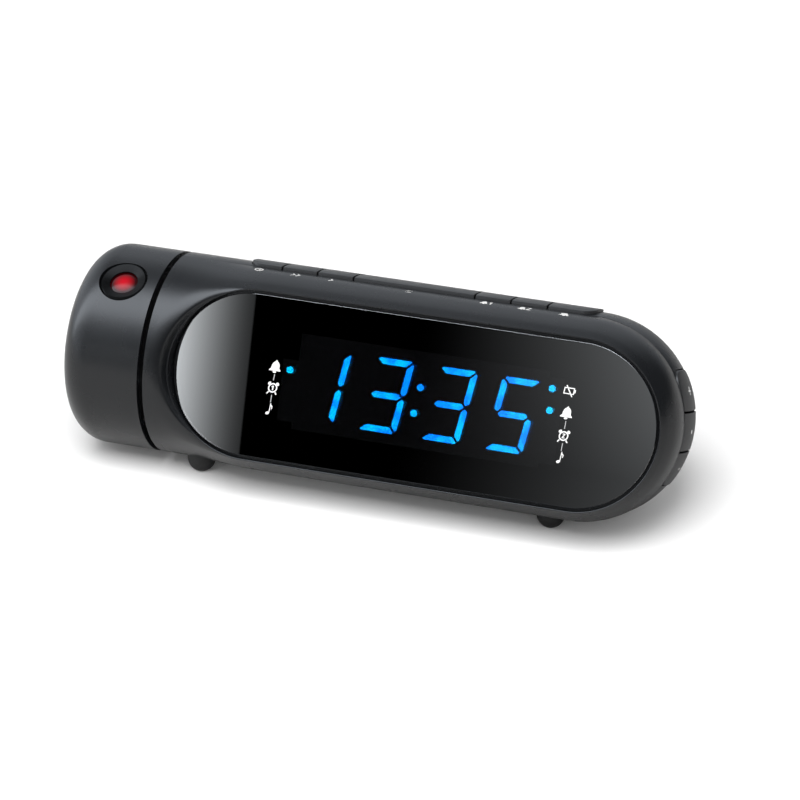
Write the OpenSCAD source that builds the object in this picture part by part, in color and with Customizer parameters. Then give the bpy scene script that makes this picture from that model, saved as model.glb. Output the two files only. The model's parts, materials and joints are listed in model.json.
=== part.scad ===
// Projection alarm clock: a pill-shaped mains clock radio with a turning projector head.
// X runs along the case, the display faces -Y and leans back, +Z is up. Millimetres.
// The origin lies under the middle of the clock, on the surface that its feet stand on.

/* [Case] */
// Radius of the case and of the projector head
case_r = 30; // [29.6:0.1:30.4]
// Wall thickness of the moulded shells
wall = 2; // [1.8:0.1:2.2]
// Distance from the display's zero line to the case's left rim
case_left = 72.4; // [72.2:0.1:72.6]
// Distance from the display's zero line to the centre of the right end's round
round_x = 55.3; // [55:0.1:55.6]
// Angle that the display leans back from upright
lean = 21.8; // [18:0.1:25]
// Distance of the seam between the shells in front of the case's axis
seam_y = 7; // [6.5:0.1:7.5]

/* [Front bezel] */
// Distance of the bezel's front rim from the case's axis
rim_y = 22.3; // [22:0.1:22.6]
// Radius of the bezel's front rim
rim_r = 25.1; // [25:0.1:25.3]
// Radius of the bezel where it meets the seam
bezel_r = 29.7; // [29.5:0.1:29.9]
// Height of the bezel's centre line over the case's axis at the seam
bezel_z = -0.6; // [-0.8:0.1:-0.4]
// Centre of the window's left round
window_left = 41.6; // [41:0.1:42]
// Centre of the window's right round
window_right = 57; // [56.6:0.1:57.2]
// Height of the window's centre line over the case's axis
window_z = -1.3; // [-1.4:0.1:-1.2]
// Radius of the recess that holds the window
recess_r = 24.7; // [24.5:0.1:24.8]
// Radius of the window's round ends
window_r = 23.8; // [23.6:0.1:23.9]
// Thickness of the window
window_t = 2; // [1.5:0.1:2.2]
// Depth of the window's face below the bezel's rim
window_sink = 0.5; // [0.3:0.1:0.8]

/* [Display] */
// Distance between neighbouring digits
digit_pitch = 19.3; // [19:0.1:19.5]
// Half height of a digit, to the middle of its strokes
digit_h = 10.45; // [10:0.05:10.8]
// Half width of a digit, to the middle of its strokes
digit_w = 5.75; // [5.5:0.05:6]
// Half thickness of a stroke
stroke = 0.85; // [0.7:0.05:1]
// Slant of the digits
slant = 9.6; // [6:0.1:12]
// Diameter of a lamp dot
dot_d = 2.0; // [1.6:0.1:2.2]

/* [Keys] */
// Width of the key strip across the case
strip_w = 14; // [13.4:0.1:14.6]
// Gap between two keys
key_gap = 0.6; // [0.5:0.05:0.7]
// Height of the top keys over the case's axis
key_r = 30.8; // [30.7:0.1:31]
// Radius of the side keys' faces
side_key_r = 30.4; // [30.3:0.1:30.5]
// Travel of a key
key_travel = 0.5; // [0.3:0.1:0.6]

/* [Projector head] */
// Width of the slot between the case and the head
slot_w = 1.8; // [1.6:0.1:2]
// Distance from the zero line to the start of the head's rounded end
head_round_x = 90.7; // [90:0.1:91]
// Radius of the head's rounded edge
head_round_r = 9.7; // [9.4:0.1:10]
// Radius of the slightly domed end face
dome_r = 128; // [118:1:140]
// Distance from the zero line to the projector lens
lens_x = 84.8; // [84.6:0.1:85.2]
// Angle of the lens over the display's normal
lens_angle = 43.5; // [35:0.1:50]
// Outer diameter of the ring round the lens
ring_d = 14; // [13.8:0.1:14.4]
// Diameter of the lens opening
lens_d = 8.2; // [7.8:0.1:8.4]
// Radius of the hollow pivot that the head turns on
pivot_r = 6; // [5.6:0.1:6.4]
// Turn of the head from rest towards the front
turn_front = 65; // [50:5:65]
// Turn of the head from rest towards the back
turn_back = 115; // [90:5:115]

/* [Battery bay] */
// Length of the bay inside
bay_l = 51; // [50.5:0.5:52]
// Height of the bay inside
bay_h = 23.4; // [22.8:0.2:24]

/* [Feet] */
// Radius of a foot
foot_r = 4.2; // [4:0.1:4.4]
// Positions of the feet along the case
foot_x = [-61.4, 47.5];
// Distance of the feet in front of and behind the axis
foot_y = 12; // [11:0.5:13]
// Height of the case's axis over the table
axis_h = 31.7; // [31.4:0.1:31.9]

/* [Hidden] */
$fn = 64;
thin = 0.02;
ledge_t = 1.3;
tape_t = 0.2;
window_face_y = rim_y - window_sink;
window_back_y = window_face_y - window_t;
ledge_y = window_back_y - tape_t;
ledge_back_y = ledge_y - ledge_t;
opening_r = 21;
tape_w = 2.4;

// Overall box, used to put the origin under the middle
fillet_r = case_r - head_round_r;
dome_c = head_round_x - sqrt(pow(dome_r - head_round_r, 2) - pow(fillet_r, 2));
head_end = dome_c + dome_r;
right_end = round_x + side_key_r;
front_reach = max(rim_y * cos(lean) + (rim_r - window_z) * sin(lean), case_r);
mid_x = (head_end - right_end) / 2;
mid_y = (front_reach - case_r) / 2;

// Outline of the bezel at five distances in front of the axis: distance, height of the centre line,
// radius, and centre of the right round
bezel_steps = [[rim_y, window_z, rim_r, window_right], [19, -1, 26.9, 56.6], [15, -0.8, 28.5, 56.2],
               [11, -0.65, 29.35, 55.8], [seam_y, bezel_z, bezel_r, round_x]];
// Length of the plain round rim at the left, and where the recess there starts to flare
left_rim = 3.2;
lip_y = 26;
lip_flare = 2.6;

// Edges of the seven keys along the top, from left to right, and of the three keys on the side, upwards
top_edges = [-52.2, -41.3, -30.3, -19.1, 18.2, 29.2, 40.3, 54.7];
side_edges = [-16.9, -6.2, 5.4, 17.1];
strip_corner = 4.5;
key_skin = 2.2;
plunger_r = 1.6;
switch_w = 6;
switch_h = 3;
board_t = 1.2;
top_board_z = 19.5;
plunger_z = top_board_z + 2;
side_board_x = 75.4;
side_plunger_x = side_board_x + 2;
top_posts = [-48, -1.6, 48];
top_post_y = 10;
side_posts = [-12, 12];
side_post_y = 9.2;

// Boards behind the display
block_face_y = window_back_y - 0.8;
block_t = 8;
display_board_y = block_face_y - block_t;
display_board_t = 1.6;
main_board_y = 2;
display_post_out = 23.2;
display_posts = [for (x = [-22, 35], s = [-1, 1]) [x, window_z + s * display_post_out]];
spacer_spots = [[-38, 12], [20, 12], [-38, -9], [20, -9]];
block_left = -28.2;
block_right = 47.3;
digit_z = -1.25;
digit_spots = [-19.4, -0.1, 19.2, 38.5];
digit_spread = digit_pitch / 19.3;
time_shown = ["bc", "abcdg", "abcdg", "acdfg"];
colon_spots = [[10.1, 2.6], [8.9, -5]];
lamps_lit = [[-30, 1.9], [48.95, 8.1], [48.95, 1.8]];
lamps_dark = [[-30, -4.2], [-30, -10.4], [48.95, -4.7], [48.95, -10.9]];

// Screw towers of the case, and the battery bay
tower_x = [-window_left - 14.8, window_right + 14];
tower_z = 18.6;
tower_spots = [for (x = tower_x, s = [1, -1]) [x, s * tower_z + bezel_z]];
tower_front_r = 3;
tower_back_r = 4.2;
screw_seat_y = 5.9;
screw_head_r = 2.8;
screw_head_t = 2.1;
screw_r = 1.2;
bay_floor_y = 15.2;
bay_wall = 2;
door_t = 1.8;
door_lip_x = 1.6;
door_lip_z = 1.2;
cell_r = 5.25;
cell_l = 44.5;
cell_y = bay_floor_y + 0.9 + cell_r;
cell_z = 5.6;

// Speaker
speaker_x = 48;
speaker_y = 20;
speaker_r = 17.7;
speaker_rim_t = 0.9;
gasket_t = 1;
gasket_in_r = 15.2;
speaker_boss_out = 20.2;
speaker_boss_r = 2.2;
speaker_bosses = [for (a = [45 : 90 : 315])
                  [speaker_x + speaker_boss_out * cos(a), speaker_boss_out * sin(a)]];

// Power inlet and aerial outlet in the back
jack_x = -38;
jack_z = 0.7;
aerial_x = -56;

// Pivot
plate_x = 69.5;
plate_t = 2.4;
plate_r = 28.9;
cover_x = case_left + slot_w + 0.3;
cover_t = 2;
cover_r = 27.9;
stop_r = 20;
stop_pin_r = 1.2;
stop_rest = 205;
head_bosses = [20, 140, 260];
head_boss_out = 25.4;

// Optics in the head, along the lens axis from the head's own axis
barrel_r = 5.5;
barrel_top = 28.4;
ring_floor = 26.5;
ring_top = 29.6;
lens_seat = 26.9;
lens_seat_r = 4.85;
light_r = lens_d / 2 - 0.3;
box_half = 6;
box_in = 5.25;
box_foot = -10;
slide_floor = 3.2;
slide_t = 1.4;

// Route of the head's lead: place along the case, and distance from the axis away from the lens
head_route = concat([[-82, 12.3]], bow([-80.5, 12.3], [-78.3, 12.3], [-77.8, 11.6], [-77.8, 9.3], 6),
                    bow([-77.8, 4], [-77.8, 1.8], [-76.9, 0], [-74.5, 0], 6), [[-70, 0], [-65, 0]]);

// ---- placing and drawing helpers ----

// Everything is drawn round the case's own axis, with the display upright, and then leant back
module in_case() {
    translate([mid_x, mid_y, axis_h]) rotate([-lean, 0, 0]) children();
}

module rod_x(x0, x1, r, r_end = -1) {
    translate([x0, 0, 0]) rotate([0, 90, 0])
        cylinder(h = x1 - x0, r1 = r, r2 = r_end < 0 ? r : r_end);
}

module rod_y(x, z, y0, y1, r) {
    translate([x, y0, z]) rotate([-90, 0, 0]) cylinder(h = y1 - y0, r = r);
}

module rod_z(x, y, z0, z1, r) {
    translate([x, y, z0]) cylinder(h = z1 - z0, r = r);
}

module block(x0, x1, y0, y1, z0, z1) {
    translate([x0, y0, z0]) cube([x1 - x0, y1 - y0, z1 - z0]);
}

// A flat outline in X and Z, made solid from y0 to y1
module face_prism(y0, y1) {
    translate([0, y1, 0]) rotate([90, 0, 0]) linear_extrude(y1 - y0) children();
}

// A flat outline of Z against the distance in front of the axis, made solid along X
module side_prism(x0, x1) {
    translate([x0, 0, 0]) rotate([180, 0, 0]) rotate([0, 90, 0]) linear_extrude(x1 - x0) children();
}

module stadium(left, right, z, r) {
    for (x = [left, right]) translate([x, z]) circle(r);
    translate([left, z - r]) square([right - left, 2 * r]);
}

module rounded(x0, x1, y0, y1, r) {
    for (x = [x0 + r, x1 - r], y = [y0 + r, y1 - r]) translate([x, y]) circle(r);
    translate([x0 + r, y0]) square([x1 - x0 - 2 * r, y1 - y0]);
    translate([x0, y0 + r]) square([x1 - x0, y1 - y0 - 2 * r]);
}

module slot_outline(x, z, length, width) {
    stadium(x - length / 2 + width / 2, x + length / 2 - width / 2, z, width / 2);
}

// Turns what is drawn along -Y round the case's axis to the lens direction
module at_lens() {
    translate([-lens_x, 0, 0]) rotate([-lens_angle, 0, 0]) rotate([90, 0, 0]) children();
}

// ---- outer forms ----

// The round body of the case, grown by "more"
module barrel(more = 0) {
    start = -case_left - 1;
    rotate([0, 90, 0]) rotate_extrude($fn = 128) {
        translate([0, start]) square([case_r + more, round_x - start]);
        translate([0, round_x]) intersection() {
            circle(r = case_r + more);
            square(2 * case_r);
        }
    }
}

module window_outline(r) {
    stadium(-window_left, window_right, window_z, r);
}

// The bezel round the window, from its rim back past the seam, pulled in by "less"
module bezel(less = 0, front = rim_y) {
    hull() for (s = bezel_steps)
        face_prism(-min(s[0], front), s[0] == seam_y ? 0 : thin - min(s[0], front))
            stadium(-window_left, s[3], s[1], s[2] - less, $fn = 96);
}

// The case's front from its round rim at the left to the start of the bezel
module left_front(less = 0) {
    hull() {
        intersection() {
            rod_x(-case_left - 1, left_rim - case_left, case_r - less, $fn = 96);
            block(-80, 0, -40, 0, -40, 40);
        }
        for (s = bezel_steps) face_prism(less - s[0], s[0] == seam_y ? 0 : less + thin - s[0]) {
            translate([-window_left, s[1] + s[2] - less - 1]) square([thin, 1]);
            translate([-window_left, s[1] - s[2] + less]) square([thin, 1]);
        }
    }
}

// What the shells leave free at the left end: the rim's cut and the groove of the bearing plate
module left_end() {
    block(-case_left - 10, -case_left, -40, 40, -40, 40);
    rod_x(-plate_x - plate_t - 0.2, -plate_x + 0.2, plate_r + 0.2);
}

module strip_outline(shrink = 0) {
    rounded(top_edges[0] + shrink, top_edges[7] - shrink, -strip_w / 2 + shrink,
            strip_w / 2 - shrink, strip_corner - shrink);
}

module side_outline(shrink = 0) {
    rounded(-strip_w / 2 + shrink, strip_w / 2 - shrink, side_edges[0] + shrink,
            side_edges[3] - shrink, strip_corner - shrink);
}

module side_key_prism(x0, x1) {
    translate([x0, 0, 0]) rotate([90, 0, 90]) linear_extrude(x1 - x0) children();
}

// ---- case ----

module front_shell() color("#2b2c2e") in_case() difference() {
    union() {
        left_front();
        bezel();
    }
    // Recess of the window, whose mouth flares where the case stands proud of it
    face_prism(-40, -ledge_y) window_outline(recess_r);
    translate([-window_left, -lip_y, window_z]) rotate([90, 0, 0])
        cylinder(h = 5, r1 = recess_r, r2 = recess_r + lip_flare, $fn = 128);
    face_prism(-40, 0) window_outline(opening_r);
    // Hollow behind the ledge and left of the window, less the screw towers and posts
    difference() {
        union() {
            difference() {
                left_front(wall);
                face_prism(-40, -ledge_back_y) window_outline(recess_r + wall);
            }
            bezel(wall, ledge_back_y);
        }
        for (s = tower_spots) rod_y(s[0], s[1], -ledge_back_y - 1, 0, tower_front_r);
        for (s = display_posts)
            rod_y(s[0], s[1], -ledge_back_y - 1, -display_board_y - thin, 2.2);
    }
    for (s = tower_spots) rod_y(s[0], s[1], -ledge_back_y + 1, 10, screw_r + 0.05);
    for (s = display_posts) rod_y(s[0], s[1], -ledge_back_y + 0.6, 0, 0.9);
    block(-80, 100, -seam_y, 10, -40, 40);
    left_end();
}

module bay_outer(grow) {
    block(-bay_l / 2 - grow, bay_l / 2 + grow, bay_floor_y - grow, 40,
          -bay_h / 2 - grow, bay_h / 2 + grow);
}

module speaker_slots() {
    for (i = [-3 : 3])
        slot_outline(speaker_x, i * 4, 2 * sqrt(pow(15, 2) - pow(i * 4, 2)), 1.8);
}

module rear_shell() color("#2b2c2e") in_case() difference() {
    union() {
        difference() {
            barrel();
            barrel(-wall);
            block(-80, 100, -40, -seam_y, -40, 40);
        }
        intersection() {
            union() {
                bay_outer(bay_wall);
                // Ring that the speaker's gasket is pressed on
                difference() {
                    rod_y(speaker_x, 0, speaker_y + gasket_t + 0.1, 30, speaker_r + 1.7);
                    rod_y(speaker_x, 0, speaker_y, 31, gasket_in_r + 1.2);
                }
                for (s = speaker_bosses)
                    rod_y(s[0], s[1], speaker_y - speaker_rim_t + 0.1, 30, speaker_boss_r);
                for (s = tower_spots) rod_y(s[0], s[1], -seam_y + 0.05, 30, tower_back_r);
                for (x = top_posts) rod_z(x, top_post_y, top_board_z, 30, 2.4);
                for (z = side_posts)
                    block(side_board_x + 0.1, 90, side_post_y - 1.6, side_post_y + 1.6, z - 2, z + 2);
                for (z = [-6.2, 6.2]) block(jack_x - 8, jack_x + 8, 17.5, 30, z, z + 1.4);
            }
            barrel(-wall + 0.4);
            block(-plate_x + 0.3, 100, -seam_y, 40, -40, 40);
        }
    }
    left_end();
    // Battery bay and its door opening
    bay_outer(0);
    door_opening(0);
    // Keys
    translate([0, 0, 15]) linear_extrude(30) strip_outline();
    side_key_prism(72, 100) side_outline();
    // Speaker
    face_prism(0, 40) speaker_slots();
    for (s = speaker_bosses) rod_y(s[0], s[1], speaker_y - 2, speaker_y + 4, 0.8);
    // Screws of the case
    for (s = tower_spots) {
        rod_y(s[0], s[1], -10, 40, screw_r + 0.4);
        rod_y(s[0], s[1], screw_seat_y, 40, screw_head_r + 0.3);
    }
    for (x = top_posts) rod_z(x, top_post_y, top_board_z - 1, top_board_z + 5, 0.8);
    for (z = side_posts) translate([0, side_post_y, z]) rod_x(side_board_x - 1, side_board_x + 5, 0.8);
    // Power inlet and aerial outlet
    rod_y(jack_x, jack_z, 20, 40, 4.1);
    rod_y(aerial_x, 0, 20, 40, 2.6);
}

module door_opening(shrink) {
    block(-bay_l / 2 - door_lip_x + shrink, bay_l / 2 + door_lip_x - shrink, 24.9, 40,
          -bay_h / 2 - door_lip_z + shrink, bay_h / 2 + door_lip_z - shrink);
}

module battery_door() color("#2b2c2e") in_case() {
    difference() {
        intersection() {
            barrel();
            door_opening(0.3);
        }
        rod_x(-40, 40, case_r - door_t);
        // Grip grooves
        for (a = [10 : 3 : 22]) rotate([-a, 0, 0]) translate([0, case_r + 0.6, 0]) rod_x(-8, 8, 0.8);
    }
    // Ribs that slide between the bay's walls
    for (z = [-1, 1])
        block(-8, 8, 24.6, 27.9, z * (bay_h / 2 - 1.2) - 0.6, z * (bay_h / 2 - 1.2) + 0.6);
}

module bearing_plate() color("#202123") in_case() difference() {
    rod_x(-plate_x - plate_t, -plate_x, plate_r);
    rod_x(-80, -60, pivot_r + 0.05);
    // Arc that the head's stop pin runs in
    translate([-plate_x - plate_t - 1, 0, 0]) rotate([90, 0, 90]) linear_extrude(plate_t + 2) {
        intersection() {
            difference() {
                circle(stop_r + stop_pin_r + 0.4);
                circle(stop_r - stop_pin_r - 0.4);
            }
            stop_sector();
        }
        for (a = [stop_rest - turn_back, stop_rest + turn_front])
            translate([stop_r * cos(a), stop_r * sin(a)]) circle(stop_pin_r + 0.4);
    }
}

module stop_sector() {
    reach = 2 * case_r;
    swing = turn_back + turn_front;
    polygon(concat([[0, 0]], [for (i = [0 : 6])
        let (a = stop_rest - turn_back + i * swing / 6) [reach * cos(a), reach * sin(a)]]));
}

module case_screws() color("#8d8f92") in_case() for (s = tower_spots) difference() {
    union() {
        rod_y(s[0], s[1], screw_seat_y, screw_seat_y + screw_head_t, screw_head_r);
        rod_y(s[0], s[1], -11, screw_seat_y + 0.1, screw_r);
    }
    for (a = [0, 90]) translate([s[0], screw_seat_y, s[1]]) rotate([0, a, 0])
        block(-1.6, 1.6, screw_head_t - 0.9, 3, -0.35, 0.35);
}

module feet() color("#161617") translate([mid_x, mid_y, axis_h]) difference() {
    for (x = foot_x, y = [-foot_y, foot_y]) intersection() {
        union() {
            translate([x, y, -27.6]) sphere(r = foot_r);
            translate([x, y, -27.6]) cylinder(h = 6, r = foot_r);
        }
        translate([x - 10, y - 10, -axis_h]) cube([20, 20, 20]);
    }
    rotate([-lean, 0, 0]) barrel(thin);
}

// ---- display ----

module display_window() color("#050506") in_case()
    face_prism(-window_face_y, -window_back_y) window_outline(window_r);

module window_tape() color("#3a3a3c") in_case() face_prism(-window_back_y, -ledge_y) difference() {
    window_outline(opening_r + tape_w);
    window_outline(opening_r + 0.2);
}

// Outline of one stroke of a digit: a to g, clockwise from the top, g in the middle
function stroke_points(s) =
    s == "a" ? [[-digit_w - 0.05, digit_h + 0.5], [-digit_w + 0.3, digit_h + stroke],
                [digit_w - 0.3, digit_h + stroke], [digit_w + 0.05, digit_h + 0.5],
                [digit_w - 1.5, digit_h - stroke], [-digit_w + 1.5, digit_h - stroke]] :
    s == "b" ? [[digit_w - stroke, 1.5], [digit_w - 0.1, 0.55], [digit_w + stroke, 1.2],
                [digit_w + stroke, digit_h - 0.3], [digit_w + 0.5, digit_h],
                [digit_w - stroke, digit_h - 1.4]] :
    s == "g" ? [[-digit_w + 0.55, 0], [-digit_w + 1.4, stroke], [digit_w - 1.4, stroke],
                [digit_w - 0.55, 0], [digit_w - 1.4, -stroke], [-digit_w + 1.4, -stroke]] :
    s == "c" ? [for (p = stroke_points("b")) [p[0], -p[1]]] :
    s == "d" ? [for (p = stroke_points("a")) [p[0], -p[1]]] :
    s == "e" ? [for (p = stroke_points("b")) [-p[0], -p[1]]] :
               [for (p = stroke_points("b")) [-p[0], p[1]]];

module digit_stroke(i, s) {
    translate([digit_spots[i] * digit_spread, digit_z])
        polygon([for (p = stroke_points(s)) [p[0] + p[1] * tan(slant), p[1]]]);
}

module strokes(lit) {
    for (i = [0 : 3], s = ["a", "b", "c", "d", "e", "f", "g"])
        if ((len(search(s, time_shown[i])) > 0) == lit) digit_stroke(i, s);
}

module digit_block() color("#0b0b0d") in_case() difference() {
    block(block_left, block_right, -block_face_y, -display_board_y, -15.5, 13);
    face_prism(-block_face_y - 1, -block_face_y + 1) {
        strokes(true);
        strokes(false);
    }
    for (p = colon_spots) rod_y(p[0], p[1], -block_face_y - 1, -block_face_y + 1, dot_d / 2 + thin);
}

module lit_segments() color("#0aa5ff") in_case() {
    face_prism(-block_face_y - 0.1, -block_face_y + 1) strokes(true);
    for (p = colon_spots) rod_y(p[0], p[1], -block_face_y - 0.1, -block_face_y + 1, dot_d / 2);
}

module unlit_segments() color("#121316") in_case()
    face_prism(-block_face_y - 0.1, -block_face_y + 1) strokes(false);

module lamp_guides() color("#0b0b0d") in_case() difference() {
    union() {
        block(-33, block_left - 0.1, -block_face_y, -display_board_y, -13.5, 5);
        block(block_right + 0.1, 52, -block_face_y, -display_board_y, -14, 11.2);
    }
    for (p = concat(lamps_lit, lamps_dark)) rod_y(p[0], p[1], -30, 0, dot_d / 2 + thin);
}

module lamp_row(spots) {
    for (p = spots) rod_y(p[0], p[1], -block_face_y - 0.1, -display_board_y, dot_d / 2);
}

module lit_lamps() color("#18d4ff") in_case() lamp_row(lamps_lit);

module unlit_lamps() color("#15171a") in_case() lamp_row(lamps_dark);

module display_board() color("#1f5a38") in_case() difference() {
    face_prism(-display_board_y, -display_board_y + display_board_t)
        rounded(-44, 60, window_z - display_post_out - 2.2, window_z + display_post_out + 2.2, 2);
    for (s = concat(display_posts, spacer_spots)) rod_y(s[0], s[1], -20, 0, 1.1);
}

// ---- boards ----

module main_board() color("#1f5a38") in_case() difference() {
    face_prism(-main_board_y, -main_board_y + display_board_t) rounded(-48, 26, -13, 16.5, 1.5);
    for (s = spacer_spots) rod_y(s[0], s[1], -20, 10, 1.1);
}

module board_spacers() color("#c9a44c") in_case() for (s = spacer_spots) difference() {
    rod_y(s[0], s[1], -display_board_y + display_board_t, -main_board_y, 2.2);
    rod_y(s[0], s[1], -20, 0, 1);
}

module pan_screw(length, head_r = 1.9, shank_r = 0.9) {
    cylinder(h = 1.3, r = head_r);
    translate([0, 0, -length]) cylinder(h = length + 0.1, r = shank_r);
}

module board_screws() color("#b8babd") in_case() {
    for (s = display_posts)
        translate([s[0], -display_board_y + display_board_t, s[1]]) rotate([-90, 0, 0])
            pan_screw(5, 1.9, 0.88);
    for (s = spacer_spots)
        translate([s[0], -main_board_y + display_board_t, s[1]]) rotate([-90, 0, 0]) pan_screw(5);
}

module clock_chips() color("#141416") in_case() {
    for (c = [[-30, 2, 12, 12], [-6, 0, 8, 10], [10, 6, 5, 4]])
        block(c[0], c[0] + c[2], -main_board_y + display_board_t, -main_board_y + display_board_t + 1.6,
              c[1] - c[3] / 2, c[1] + c[3] / 2);
    block(14, 22, -display_board_y + display_board_t, -display_board_y + display_board_t + 1.6, -4, 8);
}

module filter_capacitors() color("#23304f") in_case()
    for (x = [-14, 4.2, 12.6])
        rod_y(x, -7.5, -main_board_y + display_board_t, -main_board_y + display_board_t + 9, 3);

function key_middle(edges, i) = (edges[i] + edges[i + 1]) / 2;

module top_key_board() color("#1f5a38") in_case() difference() {
    block(-51, 51.4, -5, 12.6, top_board_z - board_t, top_board_z);
    for (x = top_posts) rod_z(x, top_post_y, 0, 40, 1.1);
}

module top_key_switches() color("#1c1c1e") in_case() for (i = [0 : 6]) difference() {
    translate([key_middle(top_edges, i), 0, top_board_z + switch_h / 2])
        cube([switch_w, switch_w, switch_h], center = true);
    rod_z(key_middle(top_edges, i), 0, plunger_z - key_travel - 0.2, 40, plunger_r + 0.3);
}

module side_key_board() color("#1f5a38") in_case() difference() {
    block(side_board_x - board_t, side_board_x, -5.5, 11, -15, 15);
    for (z = side_posts) translate([0, side_post_y, z]) rod_x(70, 90, 1.1);
}

module side_key_switches() color("#1c1c1e") in_case() for (i = [0 : 2]) difference() {
    translate([side_board_x + switch_h / 2, 0, key_middle(side_edges, i)])
        cube([switch_h, switch_w, switch_w], center = true);
    translate([0, 0, key_middle(side_edges, i)])
        rod_x(side_plunger_x - key_travel - 0.2, 90, plunger_r + 0.3);
}

module key_board_screws() color("#b8babd") in_case() {
    for (x = top_posts)
        translate([x, top_post_y, top_board_z - board_t]) rotate([180, 0, 0]) pan_screw(4, 1.9, 0.78);
    for (z = side_posts)
        translate([side_board_x - board_t, side_post_y, z]) rotate([0, -90, 0]) pan_screw(5, 1.9, 0.78);
}

// ---- keys ----

module top_key(i) color("#303133") in_case() {
    left = top_edges[i] + (i == 0 ? 0 : key_gap / 2);
    right = top_edges[i + 1] - (i == 6 ? 0 : key_gap / 2);
    intersection() {
        difference() {
            rod_x(-60, 60, key_r);
            rod_x(-61, 61, key_r - key_skin);
        }
        translate([0, 0, 15]) linear_extrude(30) intersection() {
            strip_outline(0.3);
            translate([left, -20]) square([right - left, 40]);
        }
    }
    rod_z(key_middle(top_edges, i), 0, plunger_z, key_r - key_skin + 0.4, plunger_r);
}

module side_key(i) color("#303133") in_case() {
    low = side_edges[i] + (i == 0 ? 0 : key_gap / 2);
    high = side_edges[i + 1] - (i == 2 ? 0 : key_gap / 2);
    middle = key_middle(side_edges, i);
    intersection() {
        translate([round_x, 0, 0]) difference() {
            sphere(r = side_key_r, $fn = 96);
            sphere(r = side_key_r - key_skin, $fn = 96);
        }
        side_key_prism(72, 100) intersection() {
            side_outline(0.3);
            translate([-20, low]) square([40, high - low]);
        }
    }
    root = sqrt(pow(side_key_r - key_skin + 0.6, 2) - pow(abs(middle) + plunger_r, 2));
    translate([0, 0, middle]) rod_x(side_plunger_x, round_x + root, plunger_r);
}

module key_time() top_key(0);
module key_hour() top_key(1);
module key_minute() top_key(2);
module key_snooze() top_key(3);
module key_alarm_1() top_key(4);
module key_alarm_2() top_key(5);
module key_alarm_off() top_key(6);
module side_key_upper() side_key(2);
module side_key_middle() side_key(1);
module side_key_lower() side_key(0);

// ---- speaker, inlet, batteries ----

// Half section of the speaker's parts: radius against the distance behind the axis
module turned_speaker(points) {
    translate([speaker_x, 0, 0]) rotate([-90, 0, 0]) rotate_extrude() polygon(points);
}

module speaker_frame() color("#55585c") in_case() turned_speaker([
    [speaker_r, speaker_y], [speaker_r, speaker_y - speaker_rim_t],
    [15.6, speaker_y - speaker_rim_t], [9.6, 10.5],
    [3.6, 10.5], [3.6, 11.3], [9.1, 11.3], [15, speaker_y - 0.5], [15, speaker_y]]);

module speaker_cone() color("#1a1a1c") in_case() turned_speaker([
    [0, 15.6], [3, 14.8], [14.2, speaker_y - 0.2], [14.9, speaker_y - 0.2], [14.9, speaker_y - 0.5],
    [14.3, speaker_y - 0.5], [3.3, 14.2], [3.3, 11.5], [2.9, 11.5], [2.9, 14.3], [0, 15.1]]);

module speaker_magnet() color("#7b7d80") in_case() difference() {
    rod_y(speaker_x, 0, 3.4, 10.5, 9.4);
    rod_y(speaker_x, 0, 7.5, 20, 3.6);
}

module speaker_gasket() color("#2a2a2c") in_case() difference() {
    rod_y(speaker_x, 0, speaker_y, speaker_y + gasket_t, speaker_r);
    rod_y(speaker_x, 0, 0, 40, gasket_in_r);
}

module speaker_screws() color("#b8babd") in_case() for (s = speaker_bosses)
    translate([s[0], speaker_y - speaker_rim_t, s[1]]) rotate([90, 0, 0]) pan_screw(4, 3.2, 0.78);

module power_jack() color("#161617") in_case() difference() {
    union() {
        block(jack_x - 4.6, jack_x + 4.6, 14.6, 27.2, -4.7, 6.1);
        rod_y(jack_x, jack_z, 27, 29.2, 3.9);
    }
    difference() {
        rod_y(jack_x, jack_z, 18.6, 40, 2.85);
        rod_y(jack_x, jack_z, 10, 28, 1);
    }
}

module antenna_grommet() color("#161617") in_case() difference() {
    union() {
        rod_y(aerial_x, 0, 27, 30.4, 2.5);
        rod_y(aerial_x, 0, 26.4, 27.5, 3.6);
    }
    rod_y(aerial_x, 0, 20, 40, 1);
}

module battery_cells() color("#3f6fa8") in_case() for (z = [-1, 1]) {
    translate([0, cell_y, z * cell_z]) {
        rod_x(-cell_l / 2 + 0.8, cell_l / 2 - 0.8, cell_r);
        rod_x(z > 0 ? cell_l / 2 - 1 : -cell_l / 2, z > 0 ? cell_l / 2 : -cell_l / 2 + 1, 1.9);
    }
}

module battery_contacts() color("#c8cacc") in_case() for (z = [-1, 1], s = [-1, 1]) {
    translate([0, cell_y, z * cell_z]) {
        block(s > 0 ? bay_l / 2 - 0.5 : -bay_l / 2, s > 0 ? bay_l / 2 : -bay_l / 2 + 0.5,
              -4.4, 4.4, -4.4, 4.4);
        // Contact dimple on one side, coil spring on the other
        if (s == z) rod_x(s > 0 ? cell_l / 2 + 0.05 : -bay_l / 2 + 0.4,
                          s > 0 ? bay_l / 2 - 0.4 : -cell_l / 2 - 0.05, 2.2);
        else contact_spring(s);
    }
}

// A conical coil that narrows towards the cell
module contact_spring(side) {
    turns = 3;
    steps = 36;
    length = (bay_l - cell_l) / 2 - 1.05;
    lead([for (k = [0 : steps])
        let (f = k / steps, a = 360 * turns * f, r = 3.8 - 1.6 * f)
        [side * (bay_l / 2 - 0.62 - length * f), r * cos(a), r * sin(a)]], 0.3, [1, 0, 0]);
}

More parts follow.
